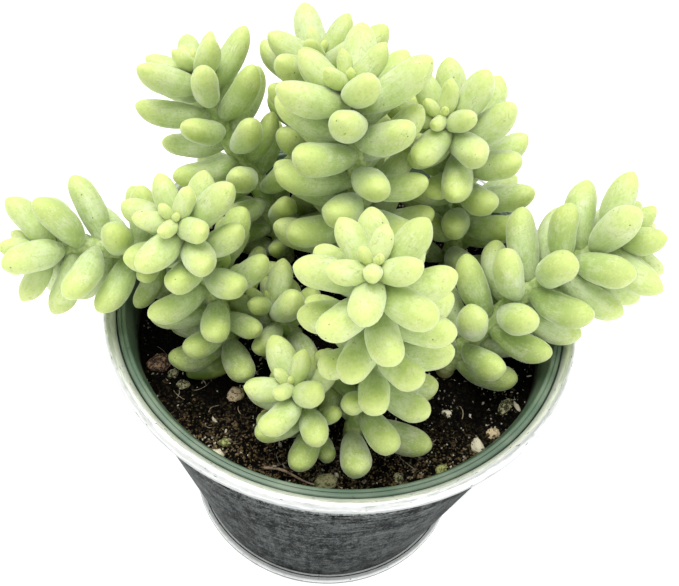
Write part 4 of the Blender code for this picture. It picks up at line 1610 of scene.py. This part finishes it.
class Crowd:
    """Every leaf of the plant as arrays, with the stems that they keep clear of."""

    def __init__(self, leaves: list[Leaf], rule: Settling) -> None:
        """Takes the leaves as they grew.

        Args:
            leaves: the leaves of every shoot.
            rule: how they settle.
        """
        self.rule = rule
        self.leaves = leaves
        self.shares = np.array(rule.shares)
        self.owners = np.array([leaf.stem for leaf in leaves])
        self.bases = np.array([leaf.base for leaf in leaves])
        self.aims = np.array([leaf.aim for leaf in leaves])
        self.grown = self.aims.copy()
        self.axes = np.array([leaf.axis for leaf in leaves])
        self.lengths = np.array([leaf.length for leaf in leaves])
        self.widths = np.array([leaf.width for leaf in leaves])
        self.cores = []
        for shoot in SHOOTS:
            path = Path(shoot)
            marks = np.arange(STEM.buried, path.length, 2 * MM)
            radii = np.array([STEM.radius(path.length - mark) for mark in marks])
            self.cores.append((np.array([path.at(mark) for mark in marks]), radii))

    @property
    def radii(self) -> np.ndarray:
        """Each leaf's radius at its touch points."""
        return 0.5 * FORM.profile(self.shares)[None] * self.widths[:, None]

    @property
    def points(self) -> np.ndarray:
        """Each leaf's touch points."""
        return centre_points(self.bases, self.aims, self.axes, self.lengths, self.shares)

    def pushes_from_stems(self, points: np.ndarray, radii: np.ndarray) -> np.ndarray:
        """How far the bare stems push the leaves of other stems.

        Args:
            points: touch points of every leaf.
            radii: the leaf's radius at each.

        Returns:
            A push for each touch point.
        """
        total = np.zeros_like(points)
        for number, (core, core_radii) in enumerate(self.cores):
            apart = points[:, :, None] - core[None, None]
            distance = np.linalg.norm(apart, axis=3) + 1e-9
            need = radii[:, :, None] + core_radii + self.rule.other_gap
            push = (apart * (np.maximum(0, need - distance) / distance)[..., None]).sum(2)
            total += np.where((self.owners == number)[:, None, None], 0, push)
        return total

    def turn_apart(self) -> None:
        """Turns each leaf about its base, away from what it meets and back to where it grew."""
        rule, radii = self.rule, self.radii
        arms = ((self.shares[None] * self.lengths[:, None]) ** 2).sum(1)
        for step in range(rule.rounds):
            points = self.points
            if step % rule.near_every == 0:
                first, second = rule.near_pairs(points, radii)
                gaps = np.where(self.owners[first] == self.owners[second], rule.same_gap, rule.other_gap)
            push = rule.pushes_between(points, radii, first, second, gaps)
            push += self.pushes_from_stems(points, radii) + rule.pushes_from_pot(points, radii)
            turn = np.cross(points - self.bases[:, None], push).sum(1) / arms[:, None]
            size = np.linalg.norm(turn, axis=1, keepdims=True)
            turn *= np.minimum(1, rule.most_turn / np.maximum(size, 1e-9))
            turn += rule.spring_back * np.cross(self.aims, self.grown)
            self.aims += np.cross(turn, self.aims)
            self.aims /= np.linalg.norm(self.aims, axis=1, keepdims=True)

    def tight_pairs(self) -> tuple[np.ndarray, np.ndarray, np.ndarray]:
        """Leaves that lie too near another stem.

        Returns:
            The first and second leaf of each tight pair, and which leaves are too near a bare stem.
        """
        points, radii = self.points, self.radii
        first, second = self.rule.near_pairs(points, radii)
        other = self.owners[first] != self.owners[second]
        first, second = first[other], second[other]
        distance = np.linalg.norm(points[first][:, :, None] - points[second][:, None], axis=3)
        room = (distance - radii[first][:, :, None] - radii[second][:, None]).min((1, 2))
        jammed = np.zeros(len(radii), bool)
        for number, (core, core_radii) in enumerate(self.cores):
            reach = np.linalg.norm(points[:, :, None] - core, axis=3) - radii[:, :, None] - core_radii
            jammed |= (reach.min((1, 2)) < self.rule.least_gap) & (self.owners != number)
        tight = room < self.rule.least_gap
        return first[tight], second[tight], jammed

    def shrink_crowded(self) -> None:
        """Makes the leaves that are still crowded a little smaller."""
        first, second, jammed = self.tight_pairs()
        jammed[first] = jammed[second] = True
        self.lengths[jammed] *= self.rule.shrink
        self.widths[jammed] *= self.rule.shrink

    def clear_leaves(self) -> list[Leaf]:
        """The leaves that lie clear of other stems. The most crowded are left off first.

        Returns:
            The leaves that stay, as they have settled.
        """
        first, second, jammed = self.tight_pairs()
        kept = ~jammed
        while (tight := kept[first] & kept[second]).any():
            crowding = np.bincount(np.concatenate([first[tight], second[tight]]), minlength=len(kept))
            kept[crowding.argmax()] = False
        settled = zip(self.leaves, self.aims, self.lengths, self.widths, kept)
        return [
            replace(leaf, aim=aim, length=length, width=width)
            for leaf, aim, length, width, keep in settled
            if keep
        ]

    def settle(self) -> list[Leaf]:
        """Lays every leaf beside its neighbours, and leaves off the few that find no room.

        Returns:
            The settled leaves.
        """
        for _ in range(self.rule.passes):
            self.turn_apart()
            self.shrink_crowded()
        self.turn_apart()
        return self.clear_leaves()


@dataclass
class Plant:
    """The burro's tail: ten shoots in the soil, with plump leaves all round them."""

    growth: Growth = field(default_factory=Growth)
    rule: Settling = field(default_factory=Settling)
    leaf_finish: LeafFinish = LeafFinish()
    stem_finish: StemFinish = StemFinish()
    first_seed: int = 100
    unevenness: float = 0.032
    sideways: float = 0.025
    trim: float = 0.965  # keeps the finer leaves inside the box of their solids

    def leaf_points(self, leaves: list[Leaf], draw: np.random.Generator) -> dict[str, np.ndarray]:
        """The skins of a shoot's leaves, all at once.

        Args:
            leaves: the leaves.
            draw: where their small differences come from.

        Returns:
            The points and the values that they carry, each with the leaf as its first index.
        """
        bases, aims, axes, lengths, widths, young = (
            np.array([getattr(leaf, key) for leaf in leaves])
            for key in ("base", "aim", "axis", "length", "width", "young")
        )
        lengths = lengths * self.trim
        shares = 0.5 - 0.5 * np.cos(np.pi * np.linspace(0.06, 1, FORM.rings + 1)[:-1])
        angles = 2 * np.pi * np.arange(FORM.sides) / FORM.sides
        upper = -under_sides(aims, axes)
        side = np.cross(upper, aims)
        sway = draw.uniform(-1, 1, len(leaves)) * self.sideways * lengths
        middle = centre_points(bases, aims, axes, lengths, shares)
        middle += side[:, None] * (sway[:, None] * 4 * shares * (1 - shares))[..., None]
        half = 0.5 * widths[:, None] * FORM.profile(shares[None], young[:, None])
        phase = draw.uniform(0, 2 * np.pi, (5, len(leaves)))[..., None, None]
        s, a = shares[None, :, None], angles[None, None, :]
        uneven = np.sin(2 * a + phase[0] + 3 * s) + 0.8 * np.sin(3 * a + phase[1] - 4 * s)
        uneven += 0.5 * np.sin(5 * a + phase[2] + 7 * s) + 0.7 * np.sin(9 * s + phase[3])
        radius = half[..., None] * (1 + self.unevenness * uneven)
        across = radius * np.cos(a)
        rise = radius * np.sin(a) * np.where(np.sin(a) > 0, FORM.flat, 1.0)
        skin = middle[:, :, None] + side[:, None, None] * across[..., None]
        skin = skin + upper[:, None, None] * rise[..., None]
        length = np.broadcast_to(s * lengths[:, None, None], across.shape)
        local = np.stack([across, rise, length], -1) / MM
        return {
            "skin": skin,
            "local": local + draw.uniform(0, 400, (len(leaves), 1, 1, 3)),
            "along": np.broadcast_to(s, across.shape),
            "young": np.broadcast_to(young[:, None, None], across.shape),
            "tone": np.broadcast_to(draw.random(len(leaves))[:, None, None], across.shape),
            "sun": np.full(across.shape, SHOOTS[leaves[0].stem].sun),
            "start": bases,
            "tip": bases + aims * lengths[:, None],
        }

    def shoot_mesh(self, number: int, leaves: list[Leaf]) -> bpy.types.Mesh:
        """One shoot: its leaves and its stem in one mesh.

        Args:
            number: the shoot's number.
            leaves: its leaves.

        Returns:
            The mesh, with the leaves in its first material slot and the stem in its second.
        """
        made = self.leaf_points(leaves, np.random.default_rng(self.first_seed + number))
        count, rings, sides = made["along"].shape
        points, local, faces = [], [], []
        carried = {"along": [], "young": [], "tone": [], "sun": []}
        for k in range(count):
            faces += tube_faces(rings, sides, sum(len(part) for part in points))
            points.append(np.vstack([made["skin"][k].reshape(-1, 3), made["start"][k], made["tip"][k]]))
            place = made["local"][k]
            local.append(np.vstack([place.reshape(-1, 3), place[0].mean(0), place[-1].mean(0)]))
            for name, values in carried.items():
                flat = made[name][k].ravel()
                values.append(np.concatenate([flat, [flat[0] if name != "along" else 0.0, flat[-1]]]))
        leaf_faces = len(faces)
        path = Path(SHOOTS[number])
        marks = np.linspace(0.0, path.length - 0.1 * MM, max(12, round(path.length / (0.8 * MM))))
        line = np.array([path.at(mark) for mark in marks])
        thick = np.array([STEM.radius(path.length - mark) for mark in marks])
        thick = thick * (1 + 0.04 * np.sin(marks / MM * 2.1) + 0.03 * np.sin(marks / MM * 0.9))
        faces += tube_faces(len(marks), STEM.sides, sum(len(part) for part in points))
        stem = drawn_tube(line, thick, STEM.sides)
        points.append(stem)
        local.append(stem / MM)
        for values in carried.values():
            values.append(np.zeros(len(stem)))
        mesh = mesh_of(SHOOTS[number].name, np.concatenate(points), faces)
        for name, values in carried.items():
            carry(mesh, name, np.concatenate(values))
        carry(mesh, "leaf_place", np.concatenate(local))
        mesh.polygons.foreach_set("material_index", [0] * leaf_faces + [1] * (len(faces) - leaf_faces))
        return mesh

    def build(self) -> None:
        """Grows the plant and makes a piece of each shoot."""
        leaves = [leaf for number, shoot in enumerate(SHOOTS) for leaf in self.growth.grow(number, shoot)]
        settled = Crowd(leaves, self.rule).settle()
        log.info("%d of %d leaves settled", len(settled), len(leaves))
        materials = [self.leaf_finish.material(), self.stem_finish.material()]
        for number, shoot in enumerate(SHOOTS):
            mesh = self.shoot_mesh(number, [leaf for leaf in settled if leaf.stem == number])
            report(show(shoot.name.replace("stem", "shoot"), mesh, materials), "leaf_green", shoot.name)


# Studio


@dataclass(frozen=True)
class Lamp:
    """A soft square light: where it hangs, its side in metres, its power in watts and its colour."""

    name: str
    place: tuple[float, float, float]
    size: float
    power: float
    colour: Colour = (1.0, 1.0, 1.0)


@dataclass
class Studio:
    """The camera, the soft lights and the plain pale floor."""

    target: Vector = field(default_factory=lambda: Vector((0.0, 0.0, 0.08709)))
    elevation: float = 50.86
    distance: float = 0.22993
    roll: float = 6.07
    lens: float = 47.72
    sensor: float = 36.0
    shift: tuple[float, float] = (-0.00476, 0.00333)
    clip: tuple[float, float] = (0.01, 20.0)
    lamps: tuple[Lamp, ...] = (
        Lamp("overhead", (-0.12, 0.06, 0.90), 0.55, 5.9, (1.0, 0.985, 0.96)),
        Lamp("side_fill", (0.75, -0.45, 0.45), 0.6, 2.0),
    )
    room: Colour = (0.97, 0.985, 1.0)
    room_strength: float = 0.76
    floor: Colour = (0.95, 0.95, 0.95)
    floor_reach: float = 4.0
    floor_glow: float = 0.45  # keeps the floor near white under the plant's shade

    def place_camera(self) -> None:
        """Sets up the camera."""
        data = bpy.data.cameras.new("camera")
        data.lens, data.sensor_width = self.lens, self.sensor
        data.shift_x, data.shift_y = self.shift
        data.clip_start, data.clip_end = self.clip
        camera = bpy.data.objects.new("camera", data)
        bpy.context.scene.collection.objects.link(camera)
        tilt, roll = math.radians(self.elevation), math.radians(self.roll)
        back = Vector((0.0, -math.cos(tilt), math.sin(tilt)))
        right = Vector((1.0, 0.0, 0.0))
        up = back.cross(right)
        across = right * math.cos(roll) + up * math.sin(roll)
        over = up * math.cos(roll) - right * math.sin(roll)
        frame = Matrix((across, over, back)).transposed().to_4x4()
        frame.translation = self.target + back * self.distance
        camera.matrix_world = frame
        bpy.context.scene.camera = camera

    def light(self, lamp: Lamp) -> None:
        """Adds a light that faces the plant.

        Args:
            lamp: the light.
        """
        data = bpy.data.lights.new(lamp.name, "AREA")
        data.size, data.energy, data.color = lamp.size, lamp.power, lamp.colour
        made = bpy.data.objects.new(lamp.name, data)
        made.location = lamp.place
        made.rotation_mode = "QUATERNION"
        made.rotation_quaternion = (self.target - Vector(lamp.place)).to_track_quat("-Z", "Y")
        bpy.context.scene.collection.objects.link(made)

    def build(self) -> None:
        """Lights the scene and lays the floor."""
        world = bpy.data.worlds.new("soft_room")
        world.use_nodes = True
        sky = world.node_tree.nodes["Background"].inputs
        sky["Color"].default_value = (*self.room, 1.0)
        sky["Strength"].default_value = self.room_strength
        bpy.context.scene.world = world
        for lamp in self.lamps:
            self.light(lamp)
        far = self.floor_reach
        mesh = bpy.data.meshes.new("floor")
        mesh.from_pydata([(-far, -far, 0), (far, -far, 0), (far, far, 0), (-far, far, 0)], [], [(0, 1, 2, 3)])
        graph = Graph("pale_floor")
        surface = graph.finish(Base_Color=self.floor, Roughness=0.9, Emission_Strength=self.floor_glow)
        show("floor", mesh, [surface])
        bpy.context.scene.view_settings.view_transform = "Standard"


def main() -> None:
    """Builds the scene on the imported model."""
    logging.basicConfig(level=logging.INFO, format="%(message)s")
    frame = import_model()
    log.info("the packed model has %d nodes", len(frame["nodes"]))
    studio = Studio()
    studio.place_camera()
    MetalPot().build()
    liner = NurseryPot()
    liner.build()
    SoilBed(liner).build()
    Plant().build()
    studio.build()


if __name__ == "__main__":
    main()
